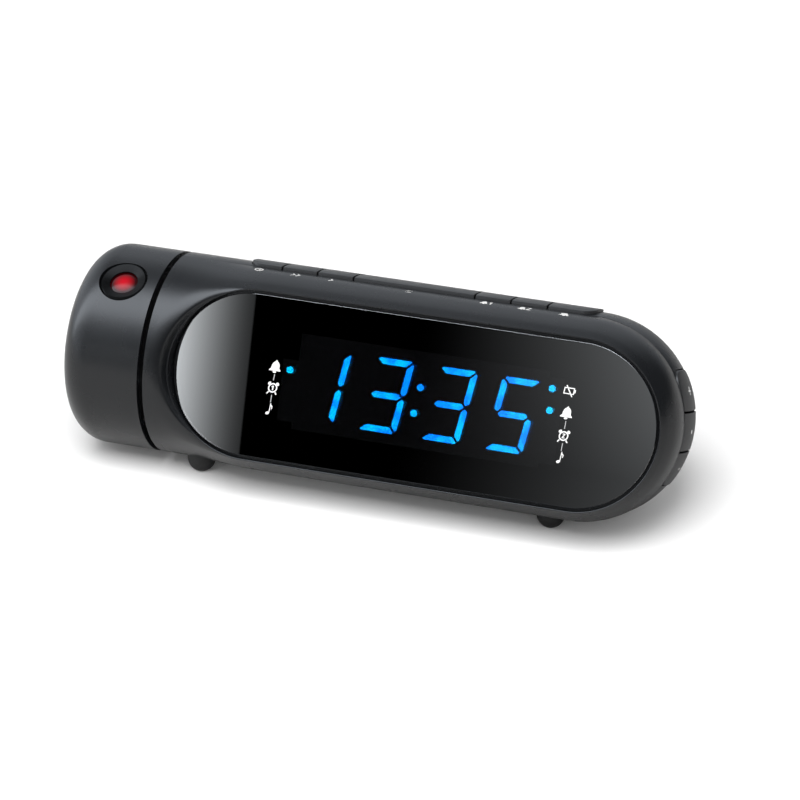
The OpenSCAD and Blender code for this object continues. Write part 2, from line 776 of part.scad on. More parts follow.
// A round lead swept along its own points; "side" is any direction that they never run along
module lead(points, r, side = [0.31, 0.17, 0.93]) {
    sides = 8;
    last = len(points) - 1;
    unit = function (v) v / norm(v);
    ring = function (k) let (
        t = unit(points[min(k + 1, last)] - points[max(k - 1, 0)]),
        u = unit(cross(t, side)),
        w = cross(t, u))
        [for (j = [0 : sides - 1]) let (b = 360 * j / sides) points[k] + r * (u * cos(b) + w * sin(b))];
    polyhedron(points = [for (k = [0 : last]) each ring(k)],
        faces = concat([[for (j = [0 : sides - 1]) j]],
            [for (k = [0 : last - 1], j = [0 : sides - 1])
                let (n = (j + 1) % sides, here = k * sides, there = here + sides)
                [here + j, there + j, there + n, here + n]],
            [[for (j = [sides - 1 : -1 : 0]) last * sides + j]]));
}

// A smooth curve from one point to the next, through two pulls
function bow(a, b, c, d, n = 12) = [for (i = [0 : n]) let (t = i / n, s = 1 - t)
    s * s * s * a + 3 * s * s * t * b + 3 * s * t * t * c + t * t * t * d];

module inner_leads() color("#7a2222") in_case() {
    lead(bow([-64.6, 0, 0], [-58, 0, 0], [-54, 6, 2], [-44, 1.3, 9]), 1.3);
    lead(bow([jack_x, 14.5, 2], [jack_x, 8, 2], [-34, 6, -6], [-36, 0.9, -3]), 0.9);
    lead(bow([speaker_x - 7, 2.3, 0], [speaker_x - 12, -4, 2], [30, 4, 10], [21, 0.9, 8]), 0.9);
}

// ---- projector head ----

// Half section of the head's outer form, radius against distance to the left, pulled in by "less"
module head_profile(less = 0) {
    tilt = asin(fillet_r / (dome_r - head_round_r));
    square([case_r - less, head_round_x]);
    translate([fillet_r, head_round_x]) intersection() {
        circle(r = head_round_r - less, $fn = 96);
        square(40);
    }
    intersection() {
        translate([0, dome_c]) circle(r = dome_r - less, $fn = 360);
        polygon([[0, head_round_x - 1], [fillet_r, head_round_x - 1], [fillet_r, head_round_x],
                 [fillet_r + 40 * tan(tilt), head_round_x + 40], [0, head_round_x + 40]]);
    }
}

module head_solid(less = 0) {
    rotate([0, -90, 0]) rotate_extrude($fn = 96) head_profile(less);
}

module head_boss_spots() {
    for (a = head_bosses) rotate([a, 0, 0]) translate([0, 0, head_boss_out]) children();
}

module head_shell() color("#2b2c2e") in_case() difference() {
    union() {
        difference() {
            head_solid();
            head_solid(wall);
        }
        intersection() {
            head_boss_spots() rod_x(-90, -cover_x - cover_t, 2.9);
            head_solid(wall / 2);
        }
        // Socket that holds the ring and the barrel
        intersection() {
            at_lens() translate([0, 0, 22]) cylinder(h = 8, r = ring_d / 2 + 1.6);
            head_solid(wall / 2);
        }
    }
    rod_x(-case_left - slot_w, 0, case_r + 5);
    rod_x(-cover_x - cover_t, -60, cover_r + 0.2);
    head_boss_spots() rod_x(-86, -70, 0.9);
    at_lens() {
        translate([0, 0, ring_floor - 0.1]) cylinder(h = 10, r = ring_d / 2 + 0.3);
        cylinder(h = 40, r = barrel_r + 0.2);
    }
}

module head_cover() color("#202123") in_case() difference() {
    union() {
        rod_x(-cover_x - cover_t, -cover_x, cover_r);
        rod_x(-cover_x - thin, -plate_x - plate_t - 0.3, 9);
        rod_x(-cover_x - thin, -64.9, pivot_r);
    }
    rod_x(-90, -60, 3.4);
    head_boss_spots() rod_x(-90, -70, 1.2);
    head_boss_spots() rod_x(-cover_x - 0.9, -70, 2.2);
    stop_place() rod_x(-90, -70, stop_pin_r);
    // Groove for the retaining ring
    difference() {
        rod_x(-68.6, -67.6, pivot_r + 1);
        rod_x(-69, -67, pivot_r - 0.8);
    }
}

// The stop pin's place, turned round the axis from the top towards the back
module stop_place() {
    rotate([stop_rest, 0, 0]) translate([0, stop_r, 0]) children();
}

module head_screws() color("#b8babd") in_case() head_boss_spots() {
    rod_x(-cover_x - 0.9, -cover_x - 0.1, 2);
    rod_x(-cover_x - 8, -cover_x - 0.8, 0.88);
}

module stop_pin() color("#b8babd") in_case() stop_place()
    rod_x(-cover_x - cover_t, -plate_x + 0.3, stop_pin_r);

module retaining_ring() color("#9a9da1") in_case() difference() {
    rod_x(-68.55, -67.65, 8.2);
    rod_x(-70, -60, pivot_r - 0.75);
    block(-70, -60, -2.2, 2.2, -12, 0);
}

module friction_washer() color("#c9a44c") in_case() difference() {
    rod_x(-69.35, -68.6, 9);
    rod_x(-70, -60, pivot_r + 0.1);
}

module lens_ring() color("#202123") in_case() at_lens() difference() {
    union() {
        translate([0, 0, ring_floor]) cylinder(h = ring_top - 0.5 - ring_floor, r = ring_d / 2);
        translate([0, 0, ring_top - 0.5 - thin])
            cylinder(h = 0.5 + thin, r1 = ring_d / 2, r2 = ring_d / 2 - 0.5);
    }
    translate([0, 0, 20]) cylinder(h = 20, r = lens_d / 2 + 0.05);
    // Dished face round the lens, and the bore that takes the barrel
    translate([0, 0, ring_top - 0.7]) cylinder(h = 0.7 + thin, r1 = lens_d / 2 + 0.05, r2 = ring_d / 2 - 0.5);
    translate([0, 0, ring_floor - 0.1]) cylinder(h = barrel_top + 0.05 - ring_floor + 0.1, r = barrel_r + 0.05);
}

// One moulding that holds the optics: a tube for the lens on a box for the slide, with a stop flange
module lens_barrel() color("#161617") in_case() at_lens() difference() {
    union() {
        translate([0, 0, slide_floor + 2]) cylinder(h = barrel_top - slide_floor - 2, r = barrel_r);
        translate([0, 0, 20]) cylinder(h = 1.9, r = barrel_r + 1.9);
        block(-box_half, box_half, -box_half, box_half, box_foot, slide_floor + slide_t + 3);
    }
    translate([0, 0, slide_floor]) cylinder(h = 40, r = light_r);
    translate([0, 0, lens_seat]) cylinder(h = 10, r = lens_seat_r);
    block(-box_in, box_in, -box_in, box_in, box_foot - 1, slide_floor + slide_t + 0.05);
}

// A round lens with one domed face: the dome points away from the lamp when "up" is 1
module domed_lens(z, r, edge, bulge, up) {
    ball = (r * r + bulge * bulge) / (2 * bulge);
    translate([0, 0, z]) {
        cylinder(h = edge, r = r);
        intersection() {
            translate([0, 0, up > 0 ? edge + bulge - ball : ball - bulge]) sphere(r = ball, $fn = 96);
            translate([0, 0, up > 0 ? edge - thin : -bulge]) cylinder(h = bulge + thin, r = r);
        }
    }
}

module projector_lens() color("#8c1014") in_case() at_lens()
    domed_lens(lens_seat + 0.05, lens_seat_r - 0.05, 1.1, 1.1, 1);

module condenser_lens() color("#d9dde0") in_case() at_lens()
    domed_lens(slide_floor - 1.05, box_in - 0.05, 1, 1.6, -1);

module slide_display() color("#3b0f12") in_case() at_lens()
    block(0.05 - box_in, box_in - 0.05, 0.05 - box_in, box_in - 0.05, slide_floor, slide_floor + slide_t);

module projector_lamp() color("#c01018") in_case() at_lens() {
    translate([0, 0, box_foot]) cylinder(h = 3, r = 2.5);
    translate([0, 0, box_foot + 3]) sphere(r = 2.5);
}

module lamp_board() color("#1f5a38") in_case() at_lens()
    block(-box_half, box_half, -box_half - 1.5, box_half + 1.5, box_foot - board_t, box_foot - thin);

// Lead of the lamp and the slide, out through the hollow pivot
module head_lead() color("#7a2222") in_case()
    lead([for (p = head_route) [p[0], p[1] * cos(lens_angle), -p[1] * sin(lens_angle)]], 0.8);

front_shell();
rear_shell();
bearing_plate();
display_window();
window_tape();
digit_block();
lit_segments();
unlit_segments();
lit_lamps();
unlit_lamps();
lamp_guides();
display_board();
main_board();
board_spacers();
board_screws();
clock_chips();
filter_capacitors();
top_key_board();
top_key_switches();
side_key_board();
side_key_switches();
key_board_screws();
speaker_frame();
speaker_cone();
speaker_magnet();
speaker_gasket();
speaker_screws();
power_jack();
antenna_grommet();
battery_cells();
battery_contacts();
battery_door();
case_screws();
feet();
inner_leads();
key_time();
key_hour();
key_minute();
key_snooze();
key_alarm_1();
key_alarm_2();
key_alarm_off();
side_key_upper();
side_key_middle();
side_key_lower();
head_shell();
head_cover();
head_screws();
stop_pin();
retaining_ring();
friction_washer();
lens_ring();
projector_lens();
lens_barrel();
condenser_lens();
slide_display();
projector_lamp();
lamp_board();
head_lead();
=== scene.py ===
import bpy
import bmesh
import json
import math
from mathutils import Matrix, Vector
from mathutils.geometry import tessellate_polygon


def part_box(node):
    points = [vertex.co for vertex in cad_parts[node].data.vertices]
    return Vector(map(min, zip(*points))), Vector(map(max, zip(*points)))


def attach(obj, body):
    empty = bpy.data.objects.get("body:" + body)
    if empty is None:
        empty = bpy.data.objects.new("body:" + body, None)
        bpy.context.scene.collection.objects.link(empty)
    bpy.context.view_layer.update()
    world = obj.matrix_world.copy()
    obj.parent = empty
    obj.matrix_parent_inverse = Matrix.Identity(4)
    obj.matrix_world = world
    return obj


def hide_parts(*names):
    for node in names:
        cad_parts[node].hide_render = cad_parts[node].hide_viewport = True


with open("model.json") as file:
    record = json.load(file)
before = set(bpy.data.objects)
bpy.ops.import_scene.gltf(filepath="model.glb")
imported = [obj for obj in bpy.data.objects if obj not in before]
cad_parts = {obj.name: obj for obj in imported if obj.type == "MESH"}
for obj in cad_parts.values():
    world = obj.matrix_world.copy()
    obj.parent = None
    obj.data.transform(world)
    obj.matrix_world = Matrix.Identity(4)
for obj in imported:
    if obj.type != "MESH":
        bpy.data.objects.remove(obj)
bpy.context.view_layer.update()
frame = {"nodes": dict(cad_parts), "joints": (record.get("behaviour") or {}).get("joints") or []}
body = frame["nodes"]

# The clock as it stands. It was drawn upright round the long axis of its case and then leant back, so
# every piece below is made in those upright millimetres and stood on the table with stand_up.
head_turn = next(j for j in frame["joints"] if j["name"] == "head_turn")
press = next(j for j in frame["joints"] if j["name"] == "press_snooze")
axle = Vector(head_turn["pos_m"])
up = -Vector(press["axis"])
plate_to_zero = 0.0719
zero_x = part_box("bearing_plate")[0].x + plate_to_zero
stand_up = Matrix(((0.001, 0, 0, zero_x), (0, 0.001 * up.z, 0.001 * up.y, axle.y),
                   (0, -0.001 * up.y, 0.001 * up.z, axle.z), (0, 0, 0, 1)))


# Camera: a long lens, a little to the clock's right and looking down on it, aimed at the middle of
# the case.
camera_data = bpy.data.cameras.new("Camera")
camera = bpy.data.objects.new("Camera", camera_data)
bpy.context.scene.collection.objects.link(camera)
azimuth, elevation = math.radians(19.18), math.radians(26.50)
back = Vector((math.sin(azimuth) * math.cos(elevation), -math.cos(azimuth) * math.cos(elevation),
               math.sin(elevation)))
right = Vector((math.cos(azimuth), math.sin(azimuth), 0))
above = back.cross(right)
camera.location = Vector((zero_x, axle.y, axle.z)) - 0.0029 * right - 0.003775 * above + 1.23771 * back
camera.rotation_euler = Matrix((right, above, back)).transposed().to_euler()
camera_data.lens = 189.97
camera_data.sensor_width = 36
camera_data.clip_start = 0.05
bpy.context.scene.camera = camera
bpy.context.scene.view_settings.view_transform = "Standard"


# Table and light: a pale sweep of floor that is darker in reflections, one large soft box in front and
# overhead, and a pale room. Glossy faces see the room graded, bright overhead and dim in front, behind
# and to the right, so that the black plastic shows its form.
def node_material(name):
    material = bpy.data.materials.new(name)
    material.use_nodes = True
    material.node_tree.nodes.clear()
    return material, material.node_tree


def add(tree, kind, inputs=None, **settings):
    node = tree.nodes.new(kind)
    for key, value in settings.items():
        setattr(node, key, value)
    for key, value in (inputs or {}).items():
        if isinstance(value, bpy.types.NodeSocket):
            tree.links.new(value, node.inputs[key])
        else:
            node.inputs[key].default_value = value
    return node


def link_mesh(name, mesh):
    piece = bpy.data.objects.new(name, mesh)
    bpy.context.scene.collection.objects.link(piece)
    return piece


floor_material, tree = node_material("studio_floor")
coords = add(tree, "ShaderNodeTexCoord")
speckle = add(tree, "ShaderNodeTexNoise", {"Vector": coords.outputs["Object"], "Scale": 40.0, "Detail": 3.0})
tint = add(tree, "ShaderNodeMapRange", {"Value": speckle.outputs[0], "To Min": 0.89, "To Max": 0.905})
seen = add(tree, "ShaderNodeLightPath")
place = add(tree, "ShaderNodeSeparateXYZ", {"Vector": coords.outputs["Object"]})
# In reflections and bounce light the floor is painted darker, and darker still to the right of the clock. This is
# painted shade on the case's lower right. The camera still sees the floor pale.
reflected_floor_shade = add(tree, "ShaderNodeMapRange", {"Value": place.outputs["X"], "From Min": -0.06, "From Max": 0.03,
                                            "To Min": 0.60, "To Max": 0.36})
toned = add(tree, "ShaderNodeMix", {0: seen.outputs["Is Camera Ray"], 2: reflected_floor_shade.outputs[0], 3: tint.outputs[0]})
paper = add(tree, "ShaderNodeBsdfDiffuse", {"Color": toned.outputs[0]})
glow = add(tree, "ShaderNodeEmission", {"Color": (1, 1, 1, 1)})
beyond = add(tree, "ShaderNodeMapRange", {"Value": place.outputs["Y"], "From Min": 0.15, "From Max": 0.9,
                                          "To Min": 0.02, "To Max": 0.25})
lift = add(tree, "ShaderNodeMath", {0: seen.outputs["Is Camera Ray"], 1: beyond.outputs[0]}, operation="MULTIPLY")
tree.links.new(lift.outputs[0], glow.inputs["Strength"])
both = add(tree, "ShaderNodeAddShader", {0: paper.outputs[0], 1: glow.outputs[0]})
add(tree, "ShaderNodeOutputMaterial", {"Surface": both.outputs[0]})
floor_mesh = bpy.data.meshes.new("studio_floor")
floor_mesh.from_pydata([(-4, -4, 0), (4, -4, 0), (4, 4, 0), (-4, 4, 0)], [], [(0, 1, 2, 3)])
floor = link_mesh("studio_floor", floor_mesh)
floor.data.materials.append(floor_material)

soft_box_data = bpy.data.lights.new("soft_box", "AREA")
soft_box_data.shape = "RECTANGLE"
soft_box_data.size = 1.2
soft_box_data.size_y = 1.2
soft_box_data.energy = 44.0
soft_box = bpy.data.objects.new("soft_box", soft_box_data)
bpy.context.scene.collection.objects.link(soft_box)
soft_box.location = 2.0 * Vector((0.02, -0.57, 0.82))
soft_box.visible_glossy = False
soft_box.rotation_euler = soft_box.location.to_track_quat("Z", "Y").to_euler()

world = bpy.data.worlds.new("pale_room")
bpy.context.scene.world = world
world.use_nodes = True
tree = world.node_tree
tree.nodes.clear()
coords = add(tree, "ShaderNodeTexCoord")
axes = add(tree, "ShaderNodeSeparateXYZ", {"Vector": coords.outputs["Generated"]})
ahead = add(tree, "ShaderNodeMath", {0: axes.outputs["Y"], 1: -1.0}, operation="MULTIPLY")
tilt = add(tree, "ShaderNodeMath", {0: axes.outputs["Z"], 1: ahead.outputs[0]}, operation="ARCTAN2")
turn = add(tree, "ShaderNodeMapRange", {"Value": tilt.outputs[0], "From Min": 0.0, "From Max": math.pi})
room = add(tree, "ShaderNodeValToRGB", {"Fac": turn.outputs[0]})
full_level = 5.0
room_steps = ((20, 0.25), (40, 0.8), (50, 1.7), (60, 4.2), (72, 4.8), (88, 4.6), (96, 1.4), (104, 0.35),
              (116, 0.25), (130, 0.45), (148, 0.8), (162, 0.5))
room.color_ramp.elements[0].color = (0.07, 0.07, 0.073, 1)
room.color_ramp.elements[1].color = (0.1, 0.1, 0.1, 1)
for angle, level in room_steps:
    room.color_ramp.elements.new(angle / 180).color = (level / full_level,) * 3 + (1,)
levelled = add(tree, "ShaderNodeMath", {0: room.outputs[0], 1: full_level}, operation="MULTIPLY")
side = add(tree, "ShaderNodeMapRange", {"Value": axes.outputs["X"], "From Min": -0.3, "From Max": -0.9,
                                        "To Min": 0.0, "To Max": 1.2})
dim = add(tree, "ShaderNodeMapRange", {"Value": axes.outputs["X"], "From Min": 0.05, "From Max": 0.5,
                                       "To Min": 1.0, "To Max": 0.1})
dimmed = add(tree, "ShaderNodeMath", {0: levelled.outputs[0], 1: dim.outputs[0]}, operation="MULTIPLY")
around = add(tree, "ShaderNodeMath", {0: dimmed.outputs[0], 1: side.outputs[0]}, operation="MAXIMUM")
seen = add(tree, "ShaderNodeLightPath")
fore = add(tree, "ShaderNodeVectorMath", {0: coords.outputs["Generated"], 1: (0.35, -0.93, 0.10)},
           operation="DOT_PRODUCT")
fill = add(tree, "ShaderNodeMapRange", {"Value": fore.outputs["Value"], "To Min": 0.30, "To Max": 1.45})
even = add(tree, "ShaderNodeMix", {0: seen.outputs["Is Glossy Ray"], 2: fill.outputs[0], 3: around.outputs[0]})
white = add(tree, "ShaderNodeMix", {0: seen.outputs["Is Camera Ray"], 2: even.outputs[0], 3: 1.0})
cool = add(tree, "ShaderNodeMix", {0: seen.outputs["Is Glossy Ray"]}, data_type="RGBA")
cool.inputs[6].default_value = (1, 1, 1, 1)
cool.inputs[7].default_value = (0.92, 0.98, 1.06, 1)
background = add(tree, "ShaderNodeBackground", {"Color": cool.outputs[2], "Strength": white.outputs[0]})
add(tree, "ShaderNodeOutputWorld", {"Surface": background.outputs[0]})

# A graded card in front, which only shows as the reflection in the window: a bright panel with a
# slanted edge at the left, then dark, then a faint rise to the right.
card_mesh = bpy.data.meshes.new("graded_card")
card_mesh.from_pydata([(-0.47, -1.0, 0.20), (-0.10, -1.0, 0.20), (-0.10, -1.0, 0.46), (-0.47, -1.0, 0.46)], [],
                      [(0, 1, 2, 3)])
card = link_mesh("graded_card", card_mesh)
card_material, tree = node_material("graded_card")
coords = add(tree, "ShaderNodeTexCoord")
axes = add(tree, "ShaderNodeSeparateXYZ", {"Vector": coords.outputs["Object"]})
slant = add(tree, "ShaderNodeMath", {0: axes.outputs["Z"], 1: 0.143}, operation="MULTIPLY")
along = add(tree, "ShaderNodeMath", {0: axes.outputs["X"], 1: slant.outputs[0]}, operation="ADD")
falling = add(tree, "ShaderNodeMapRange", {"Value": along.outputs[0], "From Min": -0.392, "From Max": -0.340,
                                           "To Min": 1.0, "To Max": 0.0})
curved = add(tree, "ShaderNodeMath", {0: falling.outputs[0], 1: 2.0}, operation="POWER")
panel = add(tree, "ShaderNodeMath", {0: curved.outputs[0], 1: 3.5, 2: 0.115}, operation="MULTIPLY_ADD")
edge = add(tree, "ShaderNodeMapRange", {"Value": along.outputs[0], "From Min": -0.3445, "From Max": -0.3435,
                                        "To Min": 1.0, "To Max": 0.0})
bright = add(tree, "ShaderNodeMath", {0: panel.outputs[0], 1: edge.outputs[0]}, operation="MULTIPLY")
rise = add(tree, "ShaderNodeMapRange", {"Value": axes.outputs["X"], "From Min": -0.30, "From Max": -0.155})
faint = add(tree, "ShaderNodeMath", {0: rise.outputs[0], 1: 2.0}, operation="POWER")
upper = add(tree, "ShaderNodeMapRange", {"Value": axes.outputs["Z"], "From Min": 0.29, "From Max": 0.36,
                                         "To Min": 0.27, "To Max": 0.65})
right_glow = add(tree, "ShaderNodeMath", {0: faint.outputs[0], 1: upper.outputs[0]}, operation="MULTIPLY")
level = add(tree, "ShaderNodeMath", {0: bright.outputs[0], 1: right_glow.outputs[0]}, operation="ADD")
shine = add(tree, "ShaderNodeEmission", {"Color": (0.93, 0.97, 1.0, 1), "Strength": level.outputs[0]})
add(tree, "ShaderNodeOutputMaterial", {"Surface": shine.outputs[0]})
card.data.materials.append(card_material)
card.visible_camera = card.visible_diffuse = card.visible_transmission = card.visible_shadow = False


# Case shells: two halves injection moulded in black ABS with a fine satin grain, screwed together
# from the back.
def moulded(name, colour, rough, grain=3200.0, relief=0.02, vary=0.06, ior=1.5):
    material, tree = node_material(name)
    coords = add(tree, "ShaderNodeTexCoord")
    fine = add(tree, "ShaderNodeTexNoise", {"Vector": coords.outputs["Object"], "Scale": grain, "Detail": 2.0})
    broad = add(tree, "ShaderNodeTexNoise", {"Vector": coords.outputs["Object"], "Scale": 60.0, "Detail": 3.0})
    gloss = add(tree, "ShaderNodeMapRange", {"Value": broad.outputs[0], "From Min": 0.3, "From Max": 0.7,
                                             "To Min": rough - vary / 2, "To Max": rough + vary / 2})
    tone = add(tree, "ShaderNodeMix", {0: broad.outputs[0]}, data_type="RGBA")
    tone.inputs[6].default_value = tuple(0.93 * c for c in colour) + (1,)
    tone.inputs[7].default_value = tuple(1.07 * c for c in colour) + (1,)
    bump = add(tree, "ShaderNodeBump", {"Height": fine.outputs[0], "Strength": 1.0, "Distance": relief * 0.001})
    shade = add(tree, "ShaderNodeBsdfPrincipled", {"Base Color": tone.outputs[2], "Roughness": gloss.outputs[0],
                                                   "Normal": bump.outputs[0], "IOR": ior})
    add(tree, "ShaderNodeOutputMaterial", {"Surface": shade.outputs[0]})
    return material


def dress(material, *names):
    for name in names:
        node = body[name]
        node.data.materials.clear()
        node.data.materials.append(material)


case_black = moulded("case_black", (0.0056, 0.0062, 0.0072), 0.27)

# Front shell: the front half of the case, moulded in black ABS with the bezel that frames the window.
# Its flanks bow in from the seam to a narrow rim. At the left it runs over into the plain round case,
# and there the mouth of the window's recess is rounded over.
flank_d = [22.3, 19.0, 15.0, 11.0, 7.0]
flank_centre_z = [-1.3, -1.0, -0.8, -0.65, -0.6]
flank_radius = [25.1, 26.9, 28.5, 29.35, 29.7]
flank_right_x = [57.0, 56.6, 56.2, 55.8, 55.3]
window_left_x, window_right_x, window_centre_z, recess_r = -41.6, 57.0, -1.3, 24.7
left_edge_x, left_rim_x, case_r, wall = -72.4, -69.2, 30.0, 2.0
ledge_d, ledge_back_d, opening_r = 19.6, 18.3, 21.0
seam_d, rim_d, rim_radius, rim_high, rim_low = 7.0, 22.3, 25.1, 23.8, 26.4
brow_reach, brow_turn = 29.0, math.radians(28)


def smooth_value(d, values):
    """Curve through the flank's measured steps."""
    i = next(k for k in range(4) if d >= flank_d[k + 1] - 1e-9)
    i = min(max(i, 0), 3)
    span = flank_d[i + 1] - flank_d[i]
    slope = [(values[min(k + 1, 4)] - values[max(k - 1, 0)]) / (flank_d[min(k + 1, 4)] - flank_d[max(k - 1, 0)])
             for k in (i, i + 1)]
    t = (d - flank_d[i]) / span
    return ((2 * t ** 3 - 3 * t ** 2 + 1) * values[i] + (t ** 3 - 2 * t ** 2 + t) * span * slope[0]
            + (3 * t ** 2 - 2 * t ** 3) * values[i + 1] + (t ** 3 - t ** 2) * span * slope[1])


def flank_at(d):
    return tuple(smooth_value(d, values) for values in (flank_centre_z, flank_radius, flank_right_x))


def right_loop(d, centre_z, radius, right_x, straight=14, turn=64):
    """From the top of the left round, along the top, round the right end and back along the bottom."""
    points = [(window_left_x + (right_x - window_left_x) * k / straight, centre_z + radius) for k in range(straight)]
    points += [(right_x + radius * math.sin(math.pi * k / turn), centre_z + radius * math.cos(math.pi * k / turn))
               for k in range(turn)]
    points += [(right_x + (window_left_x - right_x) * k / straight, centre_z - radius) for k in range(straight + 1)]
    return [Vector((x, -d, z)) for x, z in points]


rim_top, rim_bottom = math.atan2(rim_high, rim_d), math.atan2(-rim_low, rim_d)


def bezel_reach(angle):
    """Distance of the bezel's section from the case's axis, at an angle over the front."""
    if rim_bottom <= angle <= rim_top:
        near, height = (rim_top - angle, rim_high) if angle > 0 else (angle - rim_bottom, rim_low)
        corner = math.hypot(height, rim_d)
        t = min(near / brow_turn, 1)
        return corner - (corner - brow_reach) * (3 * t * t - 2 * t ** 3)
    low, high = 6.0, rim_d
    for _ in range(30):
        d = (low + high) / 2
        centre_z, radius, _ = flank_at(max(d, seam_d))
        z = centre_z + radius if angle > 0 else centre_z - radius
        if abs(math.atan2(z, d)) > abs(angle):
            low = d
        else:
            high = d
    return math.hypot(z, d)


table_start, table_step, table_last = -80, 0.5, 320
reach_table = [bezel_reach(math.radians(table_start + table_step * k)) for k in range(table_last + 1)]


def left_reach(x, angle):
    t = min(max((x - left_rim_x) / (window_left_x - left_rim_x), 0), 1)
    place = (math.degrees(angle) - table_start) / table_step
    k = min(max(int(place), 0), table_last - 1)
    reach = reach_table[k] + (reach_table[k + 1] - reach_table[k]) * (place - k)
    blend = 3 * t * t - 2 * t ** 3
    return case_r + (reach - case_r) * blend


def angle_at(x, z):
    low, high = math.radians(-79), math.radians(79)
    for _ in range(40):
        middle = (low + high) / 2
        if left_reach(x, middle) * math.sin(middle) < z:
            low = middle
        else:
            high = middle
    return low


left_columns, corner_column, corner_turn = 96, 20, 50


def lip_turn(i):
    """Angle round the left end of the window, from the top, of a column of the mesh."""
    if i <= corner_column:
        return math.radians(corner_turn) * i / corner_column
    if i >= left_columns - corner_column:
        return math.pi - math.radians(corner_turn) * (left_columns - i) / corner_column
    middle_turn = math.radians(180 - 2 * corner_turn)
    return math.radians(corner_turn) + middle_turn * (i - corner_column) / (left_columns - 2 * corner_column)


def lip_depth(turn):
    x, z = window_left_x - rim_radius * math.sin(turn), window_centre_z + rim_radius * math.cos(turn)
    angle = angle_at(x, z)
    return left_reach(x, angle) * math.cos(angle)


lip_steps, lip_share, lip_width, roll_width = 60, 0.82, 5.5, 2.2
lip_drop = [lip_share * max(lip_depth(math.pi * k / lip_steps) - rim_d, 0) for k in range(lip_steps + 1)]


def rounded_over(point):
    """The mouth of the recess is rounded where the case stands proud of the rim."""
    out = max(math.hypot(point.x - window_left_x, point.z - window_centre_z) - recess_r, 0)
    if out > lip_width or point.x > window_left_x:
        return point
    place = math.atan2(window_left_x - point.x, point.z - window_centre_z) / math.pi * lip_steps
    k = min(max(int(place), 0), lip_steps - 1)
    drop = lip_drop[k] + (lip_drop[k + 1] - lip_drop[k]) * (place - k)
    wide, tight = (1 - out / lip_width) ** 2, max(1 - out / roll_width, 0) ** 3
    return point + Vector((0, drop * (0.35 * wide + 0.65 * tight), 0))


flank_rows = 30
outer_d = [seam_d + 15.3 * (1 - (1 - k / (flank_rows - 1)) ** 1.8) for k in range(flank_rows)]
top_share = [(math.atan2(flank_at(d)[0] + flank_at(d)[1], d) - rim_top) for d in outer_d]
bottom_share = [(math.atan2(flank_at(d)[0] - flank_at(d)[1], d) - rim_bottom) for d in outer_d]
top_share = [value / top_share[0] for value in top_share]
bottom_share = [value / bottom_share[0] for value in bottom_share]


def left_column(i):
    """One column of the left part, from the seam or the round rim in to the window's mouth."""
    turn = lip_turn(i)
    lip_x, lip_z = window_left_x - rim_radius * math.sin(turn), window_centre_z + rim_radius * math.cos(turn)
    lip_angle = angle_at(lip_x, lip_z)
    top_seam, bottom_seam = math.radians(76.5), math.radians(-76.6)
    if i <= corner_column:
        end_x, end_angle = window_left_x + (left_edge_x - window_left_x) * i / corner_column, top_seam
    elif i >= left_columns - corner_column:
        end_x = window_left_x + (left_edge_x - window_left_x) * (left_columns - i) / corner_column
        end_angle = bottom_seam
    else:
        share = (i - corner_column) / (left_columns - 2 * corner_column)
        end_x, end_angle = left_edge_x, top_seam + (bottom_seam - top_seam) * share
    column = []
    for k in range(len(outer_d)):
        share = top_share[k] + (bottom_share[k] - top_share[k]) * i / left_columns
        x, angle = lip_x + (end_x - lip_x) * share, lip_angle + (end_angle - lip_angle) * share
        reach = left_reach(x, angle)
        column.append(rounded_over(Vector((x, -reach * math.cos(angle), reach * math.sin(angle)))))
    return column


columns = [left_column(i) for i in range(1, left_columns)]
mouth = [-columns[i][-1].y for i in range(left_columns - 1)]


def left_arc(radius, depth, centre_z=window_centre_z):
    """The same columns on a circle round the window's left end, from the bottom up."""
    points = []
    for i in range(left_columns - 1, 0, -1):
        turn = lip_turn(i)
        d = depth(i) if callable(depth) else depth
        points.append(Vector((window_left_x - radius * math.sin(turn), -d, centre_z + radius * math.cos(turn))))
    return points


shell_rows = []
for k, d in enumerate(outer_d):
    shell_rows.append(right_loop(d, *flank_at(d)) + [columns[i - 1][k] for i in range(left_columns - 1, 0, -1)])
for radius, below in ((24.97, 0.0), (24.84, 0.06), (24.74, 0.2), (24.7, 0.45)):
    shell_rows.append(right_loop(rim_d - below, window_centre_z, radius, window_right_x)
                      + left_arc(radius, lambda i: mouth[i - 1] - below))
for share in (0.5, 1.0):
    shell_rows.append(right_loop(21.85 + (ledge_d - 21.85) * share, window_centre_z, recess_r, window_right_x)
                      + left_arc(recess_r, lambda i: (mouth[i - 1] - 0.45) * (1 - share) + ledge_d * share))
for d in (ledge_d, ledge_back_d):
    shell_rows.append(right_loop(d, window_centre_z, opening_r, window_right_x) + left_arc(opening_r, d))
inner_d = [ledge_back_d, 15.0, 11.0, 7.0]
for k, d in enumerate(inner_d):
    centre_z, radius, right_x = flank_at(d)
    row = right_loop(d, centre_z, radius - wall, right_x)
    for i in range(left_columns - 1, 0, -1):
        turn, outer = lip_turn(i), columns[i - 1][0]
        thin = 1.0 if corner_column <= i <= left_columns - corner_column else wall
        inner = Vector((outer.x, outer.y * (1 - thin / 30), outer.z * (1 - thin / 30)))
        if thin == wall:
            inner.y = outer.y
        start = Vector((window_left_x - rim_radius * math.sin(turn), -ledge_back_d,
                        window_centre_z + rim_radius * math.cos(turn)))
        row.append(start + (inner - start) * k / (len(inner_d) - 1))
    shell_rows.append(row)


